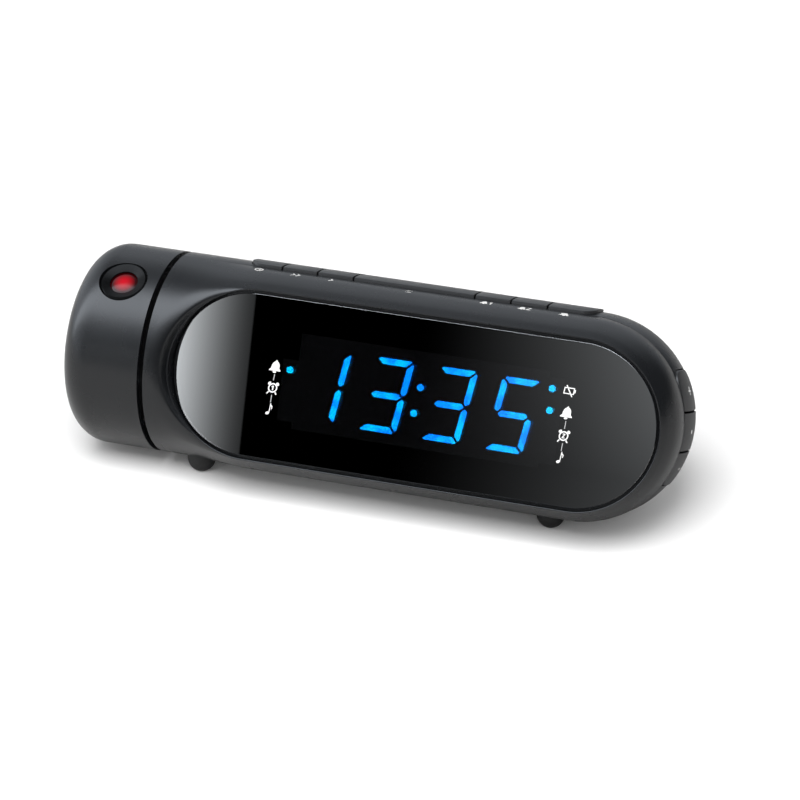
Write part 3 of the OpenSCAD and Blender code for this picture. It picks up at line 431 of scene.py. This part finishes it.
def mesh_from_rows(name, rows, ends="join"):
    """A skin through closed loops of points; the first and last loop are joined or each is capped."""
    shape = bmesh.new()
    loops = [[shape.verts.new(stand_up @ Vector(point)) for point in row] for row in rows]
    pairs = list(zip(loops, loops[1:])) + ([(loops[-1], loops[0])] if ends == "join" else [])
    for near, far in pairs:
        for i in range(len(near)):
            j = (i + 1) % len(near)
            shape.faces.new((near[i], near[j], far[j], far[i]))
    if ends == "cap":
        shape.faces.new(loops[0][::-1])
        shape.faces.new(loops[-1])
    bmesh.ops.remove_doubles(shape, verts=shape.verts, dist=1e-7)
    bmesh.ops.recalc_face_normals(shape, faces=shape.faces)
    mesh = bpy.data.meshes.new(name)
    shape.to_mesh(mesh)
    shape.free()
    return mesh


def smooth(mesh, degrees=35):
    """Shade smooth, with the edges sharper than the angle kept crisp."""
    shape = bmesh.new()
    shape.from_mesh(mesh)
    for face in shape.faces:
        face.smooth = len(face.verts) < 9
    for edge in shape.edges:
        edge.smooth = edge.is_manifold and edge.calc_face_angle(0) < math.radians(degrees)
    shape.to_mesh(mesh)
    shape.free()


front_mesh = mesh_from_rows("front_case", shell_rows)
smooth(front_mesh)
front_case = link_mesh("front_case", front_mesh)
front_case.data.materials.append(case_black)
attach(front_case, "case")
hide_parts("front_shell")

# Rear shell, battery door and projector head: more of the same black ABS, given to the pieces as they are.
# The real edges that the hand meets are broken by the mould; these pieces are not rounded here.
dress(case_black, "rear_shell", "battery_door", "head_shell")


# Keys: ten separate caps moulded in black ABS a little paler than the case, seven in a strip along the
# top and three round the right end. Their edges are softened, and they ride on sprung webs.
def softened(name, node_name, material, width=0.3, angle=40):
    """A copy of a CAD piece with its doubles merged, flat faces joined and edges rounded."""
    shape = bmesh.new()
    shape.from_mesh(body[node_name].data)
    bmesh.ops.remove_doubles(shape, verts=shape.verts, dist=1e-6)
    bmesh.ops.dissolve_limit(shape, angle_limit=math.radians(1.2), verts=shape.verts, edges=shape.edges)
    mesh = bpy.data.meshes.new(name)
    shape.to_mesh(mesh)
    shape.free()
    piece = link_mesh(name, mesh)
    bevel = piece.modifiers.new("bevel", "BEVEL")
    bevel.width = width * 0.001
    bevel.segments = 3
    bevel.limit_method = "ANGLE"
    bevel.angle_limit = math.radians(angle)
    bevel.use_clamp_overlap = True
    solid = bpy.data.meshes.new_from_object(piece.evaluated_get(bpy.context.evaluated_depsgraph_get()))
    piece.modifiers.clear()
    piece.data = solid
    solid.name = name
    smooth(solid, 30)
    solid.materials.clear()
    solid.materials.append(material)
    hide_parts(node_name)
    return piece


key_black = moulded("key_black", (0.016, 0.0165, 0.0175), 0.36)
for key in ("time", "hour", "minute", "snooze", "alarm_1", "alarm_2", "alarm_off"):
    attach(softened("cap_" + key, "key_" + key, key_black), "key_" + key)
for key in ("upper", "middle", "lower"):
    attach(softened("side_cap_" + key, "side_key_" + key, key_black), "side_key_" + key)


# Window: a 2 mm plate of dark tinted acrylic with a polished edge, stuck in its recess on foam tape.
# A black mask printed on its back leaves only the digits and lamps clear.
window_radius, window_front_d, window_back_d = 23.8, 21.8, 19.8


def stadium_loop(radius, d, centre_z=window_centre_z, left_x=window_left_x, right_x=window_right_x, turn=72):
    turns = [math.pi * k / turn for k in range(turn + 1)]
    return ([Vector((right_x + radius * math.sin(a), -d, centre_z + radius * math.cos(a))) for a in turns]
            + [Vector((left_x - radius * math.sin(a), -d, centre_z - radius * math.cos(a))) for a in turns])


window_mesh = mesh_from_rows("window_plate", [stadium_loop(radius, d, left_x=window_left_x - 0.6) for radius, d in (
    (window_radius, window_back_d), (window_radius, 21.66), (window_radius - 0.03, 21.70),
    (window_radius - 0.17, 21.775), (window_radius - 0.20, window_front_d))], "cap")
smooth(window_mesh, 25)
window_plate = link_mesh("window_plate", window_mesh)
smoked, tree = node_material("smoked_acrylic")
coords = add(tree, "ShaderNodeTexCoord")
ripple = add(tree, "ShaderNodeTexNoise", {"Vector": coords.outputs["Object"], "Scale": 35.0, "Detail": 1.0})
haze = add(tree, "ShaderNodeMapRange", {"Value": ripple.outputs[0], "To Min": 0.004, "To Max": 0.008})
dye = add(tree, "ShaderNodeMix", {0: ripple.outputs[0]}, data_type="RGBA")
dye.inputs[6].default_value = (0.058, 0.058, 0.061, 1)
dye.inputs[7].default_value = (0.062, 0.062, 0.065, 1)
acrylic = add(tree, "ShaderNodeBsdfPrincipled", {"Base Color": dye.outputs[2], "Roughness": haze.outputs[0],
                                                 "Transmission Weight": 1.0, "IOR": 1.49, "Coat Weight": 1.0,
                                                 "Coat IOR": 2.4, "Coat Roughness": haze.outputs[0]})
add(tree, "ShaderNodeOutputMaterial", {"Surface": acrylic.outputs[0]})
window_plate.data.materials.append(smoked)
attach(window_plate, "case")
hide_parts("display_window")


def flat_piece(name, shapes, place, thickness=0.04):
    """Flat shapes, each an outline with any holes in it, given a little thickness where place puts them."""
    shape = bmesh.new()
    for outline, *holes in shapes:
        loops = [outline] + list(holes)
        corners = [point for loop in loops for point in loop]
        triangles = tessellate_polygon([[Vector((u, v, 0)) for u, v in loop] for loop in loops])
        top = [shape.verts.new(stand_up @ place(u, v, thickness)) for u, v in corners]
        low = [shape.verts.new(stand_up @ place(u, v, -0.02)) for u, v in corners]
        for a, b, c in triangles:
            shape.faces.new((top[a], top[b], top[c]))
            shape.faces.new((low[c], low[b], low[a]))
        start = 0
        for loop in loops:
            for k in range(len(loop)):
                i, j = start + k, start + (k + 1) % len(loop)
                shape.faces.new((top[i], top[j], low[j], low[i]))
            start += len(loop)
    bmesh.ops.recalc_face_normals(shape, faces=shape.faces)
    mesh = bpy.data.meshes.new(name)
    shape.to_mesh(mesh)
    shape.free()
    return link_mesh(name, mesh)


def disc(u, v, radius, squash=1.0, count=20, turned=0.0):
    return [(u + radius * math.cos(2 * math.pi * k / count) * math.cos(turned)
             - radius * squash * math.sin(2 * math.pi * k / count) * math.sin(turned),
             v + radius * math.cos(2 * math.pi * k / count) * math.sin(turned)
             + radius * squash * math.sin(2 * math.pi * k / count) * math.cos(turned)) for k in range(count)]


def bar(a, b, half):
    """A straight stroke from a to b."""
    along = Vector((b[0] - a[0], b[1] - a[1])).normalized() * half
    return [(a[0] - along.y, a[1] + along.x), (a[0] + along.y, a[1] - along.x),
            (b[0] + along.y, b[1] - along.x), (b[0] - along.y, b[1] + along.x)]


mask_hole = [(-28.15, -15.3), (47.25, -15.3), (47.25, -13.8), (51.8, -13.8), (51.8, 11.0), (47.25, 11.0),
             (47.25, 12.8), (-28.15, 12.8), (-28.15, 4.8), (-32.8, 4.8), (-32.8, -13.3), (-28.15, -13.3)]
mask_rim = [(point.x, point.z) for point in stadium_loop(23.75, 0, turn=48)]
mask_d = 19.84
window_mask = flat_piece("window_mask", [(mask_rim, mask_hole)],
                         lambda u, v, lift: Vector((u, -mask_d - lift * 0.5, v)))
mask_ink, tree = node_material("mask_ink")
coords = add(tree, "ShaderNodeTexCoord")
spread = add(tree, "ShaderNodeTexNoise", {"Vector": coords.outputs["Object"], "Scale": 900.0, "Detail": 2.0})
ink_tone = add(tree, "ShaderNodeMapRange", {"Value": spread.outputs[0], "To Min": 0.0003, "To Max": 0.0006})
ink = add(tree, "ShaderNodeBsdfDiffuse", {"Color": ink_tone.outputs[0]})
add(tree, "ShaderNodeOutputMaterial", {"Surface": ink.outputs[0]})
window_mask.data.materials.append(mask_ink)
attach(window_mask, "case")


# Signs on the window: white pictograms printed on its face beside the lamps that they name, with thin
# grey joining lines. Bell for the buzzer, alarm clock with its number, note for the radio, and a crossed
# cell that lights when the backup cells are missing.
def printed_ink(name, colour):
    material, tree = node_material(name)
    coords = add(tree, "ShaderNodeTexCoord")
    grain = add(tree, "ShaderNodeTexNoise", {"Vector": coords.outputs["Object"], "Scale": 2500.0, "Detail": 2.0})
    tone = add(tree, "ShaderNodeMix", {0: grain.outputs[0]}, data_type="RGBA")
    tone.inputs[6].default_value = tuple(0.88 * c for c in colour) + (1,)
    tone.inputs[7].default_value = tuple(1.06 * c for c in colour) + (1,)
    ink = add(tree, "ShaderNodeBsdfPrincipled", {"Base Color": tone.outputs[2], "Roughness": 0.55})
    add(tree, "ShaderNodeOutputMaterial", {"Surface": ink.outputs[0]})
    return material


sign_white = printed_ink("sign_white", (0.82, 0.82, 0.82))
line_grey = printed_ink("line_grey", (0.42, 0.42, 0.43))

bell_shapes = [([(-0.54, -0.36), (-0.50, -0.24), (-0.38, -0.14), (-0.36, 0.10), (-0.30, 0.30), (-0.18, 0.44),
                 (-0.07, 0.50), (-0.05, 0.60), (0.05, 0.60), (0.07, 0.50), (0.18, 0.44), (0.30, 0.30),
                 (0.36, 0.10), (0.38, -0.14), (0.50, -0.24), (0.54, -0.36)],), (disc(0, -0.46, 0.16, 0.5),)]


def clock_shapes(number):
    shapes = [(disc(0, 0, 0.40, count=28), disc(0, 0, 0.30, count=28)[::-1]),
              (disc(-0.36, 0.36, 0.15, 0.75, 14, math.radians(45)),),
              (disc(0.36, 0.36, 0.15, 0.75, 14, math.radians(-45)),),
              (bar((-0.28, -0.34), (-0.42, -0.52), 0.05),), (bar((0.28, -0.34), (0.42, -0.52), 0.05),)]
    if number == 1:
        shapes += [(bar((0.02, -0.19), (0.02, 0.19), 0.045),), (bar((-0.02, 0.16), (-0.11, 0.07), 0.035),)]
    else:
        shapes += [(bar((-0.11, 0.16), (0.12, 0.16), 0.035),), (bar((0.10, 0.15), (-0.10, -0.14), 0.04),),
                   (bar((-0.12, -0.16), (0.12, -0.16), 0.035),)]
    return shapes


note_shapes = [(disc(-0.10, -0.40, 0.17, 0.75, 18, math.radians(20)),), (bar((0.04, -0.38), (0.04, 0.52), 0.035),),
               ([(0.04, 0.54), (0.10, 0.40), (0.26, 0.24), (0.24, 0.02), (0.17, -0.06), (0.19, 0.18), (0.04, 0.32)],)]
cell_shapes = [([(-0.48, -0.26), (0.36, -0.26), (0.36, -0.13), (0.46, -0.13), (0.46, 0.13), (0.36, 0.13),
                 (0.36, 0.26), (-0.48, 0.26)],
                [(-0.41, -0.19), (-0.41, 0.19), (0.29, 0.19), (0.29, -0.19)]),
               (bar((-0.34, 0.42), (0.26, -0.44), 0.04),)]


def on_window(x, z, size):
    return lambda u, v, lift: Vector((x + u * size + v * size * 0.12, -window_front_d - lift, z + v * size))


signs = (("left_bell", bell_shapes, -34.6, 2.1, 3.3), ("left_alarm", clock_shapes(1), -34.7, -4.1, 3.5),
         ("left_note", note_shapes, -35.0, -10.3, 3.2), ("right_cell", cell_shapes, 54.1, 8.1, 3.7),
         ("right_bell", bell_shapes, 54.0, 1.7, 3.3), ("right_alarm", clock_shapes(2), 53.9, -4.9, 3.5),
         ("right_note", note_shapes, 53.7, -11.1, 3.2))
for name, shapes, x, z, size in signs:
    sign = flat_piece("sign_" + name, shapes, on_window(x, z, size))
    sign.data.materials.append(sign_white)
    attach(sign, "case")
joins = [(-34.6, -0.1, -34.75, -1.9), (-34.75, -6.2, -34.85, -8.4), (54.05, -0.6, 53.9, -2.8),
         (53.9, -7.0, 53.75, -9.2)]
lines = flat_piece("sign_lines", [(bar((a, b), (c, d), 0.11),) for a, b, c, d in joins],
                   lambda u, v, lift: Vector((u, -window_front_d - lift, v)))
lines.data.materials.append(line_grey)
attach(lines, "case")


# Signs over the keys: small off-white pictograms printed on the bezel's shoulder under each key, a
# clock face for the time, arrows for hours and minutes, a moon for snooze and bells for the alarms.
def on_shoulder(x, size, d=11.2):
    def place(u, v, lift):
        depth = d - v * size
        centre_z, radius, _ = flank_at(max(depth, seam_d))
        return Vector((x + u * size, -depth, centre_z + radius + lift))
    return place


face_shapes = [(disc(0, 0, 0.5, count=28), disc(0, 0, 0.38, count=28)[::-1]), (bar((0, 0), (0, 0.30), 0.05),),
               (bar((0, 0), (0.20, -0.08), 0.05),)]
moon_shapes = [([(0.42 * math.cos(a), 0.42 * math.sin(a)) for a in [math.radians(50 + 13 * k) for k in range(21)]]
                + [(0.16 + 0.34 * math.cos(a), 0.06 + 0.34 * math.sin(a))
                   for a in [math.radians(298 - 14.5 * k) for k in range(17)]],)]
one = [(bar((0.46, -0.42), (0.46, 0.42), 0.07),), (bar((0.44, 0.40), (0.28, 0.24), 0.06),)]
two = [(bar((0.24, 0.38), (0.66, 0.38), 0.06),), (bar((0.62, 0.36), (0.28, -0.36), 0.07),),
       (bar((0.22, -0.40), (0.68, -0.40), 0.06),)]


def arrow(u):
    return ([(u - 0.22, 0.42), (u - 0.08, 0.42), (u + 0.26, 0.0), (u - 0.08, -0.42), (u - 0.22, -0.42),
             (u + 0.10, 0.0)],)


def numbered(number_shapes):
    """A narrow bell with a number beside it."""
    return [([(u * 0.8 - 0.30, v) for u, v in bell_shapes[0][0]],), (disc(-0.30, -0.45, 0.11, 0.6),)] + number_shapes


key_signs = (("time", face_shapes, -46.9), ("hour", [arrow(-0.28), arrow(0.28)], -35.4),
             ("minute", [arrow(0.0)], -24.4), ("snooze", moon_shapes, -0.4), ("alarm_1", numbered(one), 23.4),
             ("alarm_2", numbered(two), 34.9),
             ("alarm_off", bell_shapes + [(bar((-0.46, 0.46), (0.46, -0.50), 0.05),)], 46.8))
key_ink = printed_ink("key_ink", (0.78, 0.78, 0.77))
for name, shapes, x in key_signs:
    sign = flat_piece("key_sign_" + name, shapes, on_shoulder(x, 2.7))
    sign.data.materials.append(key_ink)
    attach(sign, "case")


# Side key signs: plus, dot and minus, moulded a little proud on the ends of the three side caps and
# tipped with the same off-white ink as the signs over the keys.
side_cap_r, side_round_x = 30.4, 55.3


def on_side_cap(y, z, size):
    def place(u, v, lift):
        across, high = y + u * size, z + v * size
        return Vector((side_round_x + math.sqrt((side_cap_r + lift) ** 2 - across ** 2 - high ** 2), across, high))
    return place


minus_shapes = [(bar((-0.5, 0), (0.5, 0), 0.09),)]
plus_shapes = minus_shapes + [(bar((0, -0.5), (0, -0.09), 0.09),), (bar((0, 0.09), (0, 0.5), 0.09),)]
for name, shapes, z in (("upper", plus_shapes, 11.2), ("middle", [(disc(0, 0, 0.28),)], -0.4),
                        ("lower", minus_shapes, -11.5)):
    sign = flat_piece("side_sign_" + name, shapes, on_side_cap(0.0, z, 2.2))
    sign.data.materials.append(key_ink)
    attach(sign, "side_key_" + name)


# Digits: strokes of clear resin moulded into a black block, lit from behind by blue chips, with the
# colon and the lamps in the same light. The strokes that are off are as black as the block.
def glowing(name, near, far, strength):
    material, tree = node_material(name)
    coords = add(tree, "ShaderNodeTexCoord")
    spread = add(tree, "ShaderNodeTexNoise", {"Vector": coords.outputs["Object"], "Scale": 260.0, "Detail": 0.0})
    share = add(tree, "ShaderNodeMapRange", {"Value": spread.outputs[0], "From Min": 0.35, "From Max": 0.6})
    tone = add(tree, "ShaderNodeMix", {0: share.outputs[0]}, data_type="RGBA")
    tone.inputs[6].default_value = near + (1,)
    tone.inputs[7].default_value = far + (1,)
    shade = add(tree, "ShaderNodeBsdfPrincipled", {"Base Color": (0.01, 0.02, 0.04, 1), "Roughness": 0.5,
                                                   "Emission Color": tone.outputs[2], "Emission Strength": strength})
    add(tree, "ShaderNodeOutputMaterial", {"Surface": shade.outputs[0]})
    return material


digit_w, digit_h, stroke, slant, digit_drop = 4.95, 9.92, 0.88, 0.157, 1.485
top_stroke = [(-digit_w - 0.05, digit_h + 0.5), (-digit_w + 0.3, digit_h + stroke),
              (digit_w - 0.3, digit_h + stroke), (digit_w + 0.05, digit_h + 0.5),
              (digit_w - 1.5, digit_h - stroke), (-digit_w + 1.5, digit_h - stroke)]
side_stroke = [(digit_w - stroke, 1.5), (digit_w - 0.1, 0.55), (digit_w + stroke, 1.2),
               (digit_w + stroke, digit_h - 0.3), (digit_w + 0.5, digit_h), (digit_w - stroke, digit_h - 1.4)]
middle_stroke = [(-digit_w + 0.55, 0), (-digit_w + 1.4, stroke), (digit_w - 1.4, stroke),
                 (digit_w - 0.55, 0), (digit_w - 1.4, -stroke), (-digit_w + 1.4, -stroke)]
strokes = {"a": top_stroke, "b": side_stroke, "g": middle_stroke, "c": [(u, -v) for u, v in side_stroke],
           "d": [(u, -v) for u, v in top_stroke], "e": [(-u, -v) for u, v in side_stroke],
           "f": [(-u, v) for u, v in side_stroke]}
time_shown = (("bc", -20.0), ("abcdg", -0.8), ("abcdg", 18.4), ("acdfg", 37.6))
block_face_d, glow_strength = 19.06, 36.0


def slanted(points, x):
    return [(x + u + slant * v, v - digit_drop) for u, v in points]


def on_block(u, v, lift):
    return Vector((u, -block_face_d - lift, v))


lit = [(slanted(strokes[s], x),) for shown, x in time_shown for s in shown]
lit += [(disc(9.25, 2.35, 0.98, count=32),), (disc(8.13, -5.32, 0.98, count=32),)]
dark = [(slanted(strokes[s], x),) for shown, x in time_shown for s in "abcdefg" if s not in shown]
lamps = [(disc(x, z, 1.0, count=32),) for x, z in ((-30.75, 1.65), (48.3, 7.8), (48.3, 1.5))]
stroke_lit = glowing("stroke_lit", (0.0, 0.20, 1.0), (0.0, 0.40, 1.0), glow_strength)
lamp_lit = glowing("lamp_lit", (0.0, 0.46, 1.0), (0.0, 0.56, 1.0), glow_strength)
for name, shapes, material, node_name, slot_name in (
        ("lit_strokes", lit, stroke_lit, "lit_segments", "stroke_lit"),
        ("lit_dots", lamps, lamp_lit, "lit_lamps", "lamp_lit"),
        ("dark_strokes", dark, mask_ink, "unlit_segments", "stroke_dark")):
    piece = flat_piece(name, shapes, on_block, 0.12)
    piece.data.materials.append(material)
    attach(piece, "case")
    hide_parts(node_name)
dress(mask_ink, "digit_block", "lamp_guides", "unlit_lamps")
dress(moulded("tape_grey", (0.03, 0.03, 0.032), 0.9, grain=1500.0, relief=0.05), "window_tape")


# Boards: five sheets of glass fibre with green solder mask over copper tracks, cut to shape and screwed
# to posts in the case. They carry the chips, switches and capacitors.
def board(name):
    material, tree = node_material(name)
    coords = add(tree, "ShaderNodeTexCoord")
    tracks = add(tree, "ShaderNodeTexBrick", {"Vector": coords.outputs["Object"], "Scale": 260.0,
                                              "Mortar Size": 0.12, "Brick Width": 1.4, "Row Height": 0.5})
    tracks.inputs["Color1"].default_value = (0.012, 0.10, 0.04, 1)
    tracks.inputs["Color2"].default_value = (0.014, 0.12, 0.05, 1)
    tracks.inputs["Mortar"].default_value = (0.03, 0.20, 0.08, 1)
    height = tracks.outputs["Factor" if "Factor" in tracks.outputs else "Fac"]
    raised = add(tree, "ShaderNodeBump", {"Height": height, "Strength": 0.6, "Distance": 0.00004})
    shade = add(tree, "ShaderNodeBsdfPrincipled", {"Base Color": tracks.outputs["Color"], "Roughness": 0.35,
                                                   "Normal": raised.outputs[0]})
    add(tree, "ShaderNodeOutputMaterial", {"Surface": shade.outputs[0]})
    return material


dress(board("board_green"), "display_board", "main_board", "top_key_board", "side_key_board", "lamp_board")
dress(moulded("chip_black", (0.012, 0.012, 0.013), 0.5), "clock_chips", "top_key_switches", "side_key_switches")
dress(moulded("capacitor_blue", (0.02, 0.035, 0.11), 0.3), "filter_capacitors")


# Metal pieces: zinc-plated steel screws and stop pin, nickel-plated contacts and retaining ring bent
# from spring steel, and spacers and washer turned from brass.
def metal(name, colour, rough, streak=900.0):
    material, tree = node_material(name)
    coords = add(tree, "ShaderNodeTexCoord")
    drawn = add(tree, "ShaderNodeTexNoise", {"Vector": coords.outputs["Object"], "Scale": streak, "Detail": 3.0})
    gloss = add(tree, "ShaderNodeMapRange", {"Value": drawn.outputs[0], "To Min": rough - 0.08, "To Max": rough + 0.1})
    tone = add(tree, "ShaderNodeMix", {0: drawn.outputs[0]}, data_type="RGBA")
    tone.inputs[6].default_value = tuple(0.85 * c for c in colour) + (1,)
    tone.inputs[7].default_value = tuple(min(1.1 * c, 1) for c in colour) + (1,)
    shade = add(tree, "ShaderNodeBsdfPrincipled", {"Base Color": tone.outputs[2], "Roughness": gloss.outputs[0],
                                                   "Metallic": 1.0})
    add(tree, "ShaderNodeOutputMaterial", {"Surface": shade.outputs[0]})
    return material


dress(metal("steel", (0.56, 0.57, 0.58), 0.32), "board_screws", "key_board_screws", "speaker_screws", "case_screws",
      "head_screws", "stop_pin")
dress(metal("spring_steel", (0.62, 0.61, 0.58), 0.25), "battery_contacts", "retaining_ring")
dress(metal("brass", (0.72, 0.50, 0.20), 0.28), "board_spacers", "friction_washer")


# Speaker: a pressed steel basket with a paper pulp cone over a ferrite magnet. It is screwed to four
# bosses behind the slots in the back, on a foam gasket.
dress(metal("speaker_steel", (0.16, 0.16, 0.17), 0.4), "speaker_frame")
dress(moulded("magnet_grey", (0.09, 0.09, 0.095), 0.6, relief=0.05), "speaker_magnet")
dress(moulded("cone_black", (0.016, 0.016, 0.017), 0.85, grain=900.0, relief=0.12), "speaker_cone")
dress(moulded("foam_black", (0.02, 0.02, 0.021), 0.95, grain=1200.0, relief=0.15), "speaker_gasket")


# Back fittings: a moulded power inlet, a rubber grommet for the aerial, two sleeved backup cells in
# their bay, and the leads between the boards. The end plates of the pivot are matt black mouldings.
dress(moulded("inlet_black", (0.012, 0.012, 0.013), 0.28), "power_jack", "lens_barrel")
rubber_black = moulded("rubber_black", (0.010, 0.010, 0.010), 0.62, grain=1400.0, relief=0.05)
dress(rubber_black, "antenna_grommet")
dress(moulded("cell_blue", (0.04, 0.12, 0.34), 0.22), "battery_cells")
dress(moulded("lead_red", (0.25, 0.012, 0.012), 0.35), "inner_leads", "head_lead")
dress(moulded("end_plate_black", (0.012, 0.012, 0.013), 0.5), "bearing_plate", "head_cover")


# Feet: four soft domes moulded in black rubber, each with a small flat where it stands, and pushed
# into the bottom of the case.
dress(moulded("foot_black", (0.010, 0.010, 0.010), 0.55, grain=1400.0, relief=0.05), "feet")


# Projector: a dished black ring holds the red front lens; behind it are a clear condenser, the glass
# slide that makes the time and a red lamp.
lens_ring = softened("ring_round_lens", "lens_ring", moulded("ring_black", (0.002, 0.0022, 0.0024), 0.25, ior=1.2),
                     0.2, 35)
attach(lens_ring, "head")


def glass(name, colour, rough, through, lit=0.0):
    material, tree = node_material(name)
    coords = add(tree, "ShaderNodeTexCoord")
    swirl = add(tree, "ShaderNodeTexNoise", {"Vector": coords.outputs["Object"], "Scale": 300.0, "Detail": 1.0})
    tone = add(tree, "ShaderNodeMix", {0: swirl.outputs[0]}, data_type="RGBA")
    tone.inputs[6].default_value = tuple(0.8 * c for c in colour) + (1,)
    tone.inputs[7].default_value = tuple(min(1.15 * c, 1) for c in colour) + (1,)
    shade = add(tree, "ShaderNodeBsdfPrincipled", {"Base Color": tone.outputs[2], "Roughness": rough,
                                                   "Transmission Weight": through, "IOR": 1.5, "Coat Weight": 1.0,
                                                   "Coat Roughness": 0.03, "Emission Color": tone.outputs[2],
                                                   "Emission Strength": lit})
    add(tree, "ShaderNodeOutputMaterial", {"Surface": shade.outputs[0]})
    return material


near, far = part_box("projector_lens")
# The red lens carries painted light: a painted glow of the red lamp behind it, bright in the middle and painted darker
# towards the rim. The same colour is also given off as light.
lens_red, tree = node_material("lens_red")
coords = add(tree, "ShaderNodeTexCoord")
out = add(tree, "ShaderNodeVectorMath", {0: coords.outputs["Object"], 1: (near + far) / 2}, operation="DISTANCE")
depth = add(tree, "ShaderNodeMapRange", {"Value": out.outputs["Value"], "From Min": 0.0016, "From Max": 0.0036})
painted_glow_falloff = add(tree, "ShaderNodeMix", {0: depth.outputs[0]}, data_type="RGBA")
painted_glow_falloff.inputs[6].default_value = (0.32, 0.002, 0.008, 1)
painted_glow_falloff.inputs[7].default_value = (0.015, 0.0002, 0.0006, 1)
lens_shade = add(tree, "ShaderNodeBsdfPrincipled", {"Base Color": painted_glow_falloff.outputs[2], "Roughness": 0.10, "IOR": 1.33,
                                                    "Emission Color": painted_glow_falloff.outputs[2], "Emission Strength": 0.4})
add(tree, "ShaderNodeOutputMaterial", {"Surface": lens_shade.outputs[0]})
dress(lens_red, "projector_lens")
dress(glass("lens_clear", (0.85, 0.88, 0.90), 0.03, 1.0), "condenser_lens")
dress(glass("slide_glass", (0.10, 0.02, 0.025), 0.1, 0.2), "slide_display")
dress(glass("lamp_red", (0.50, 0.01, 0.015), 0.1, 0.0, 1.0), "projector_lamp")
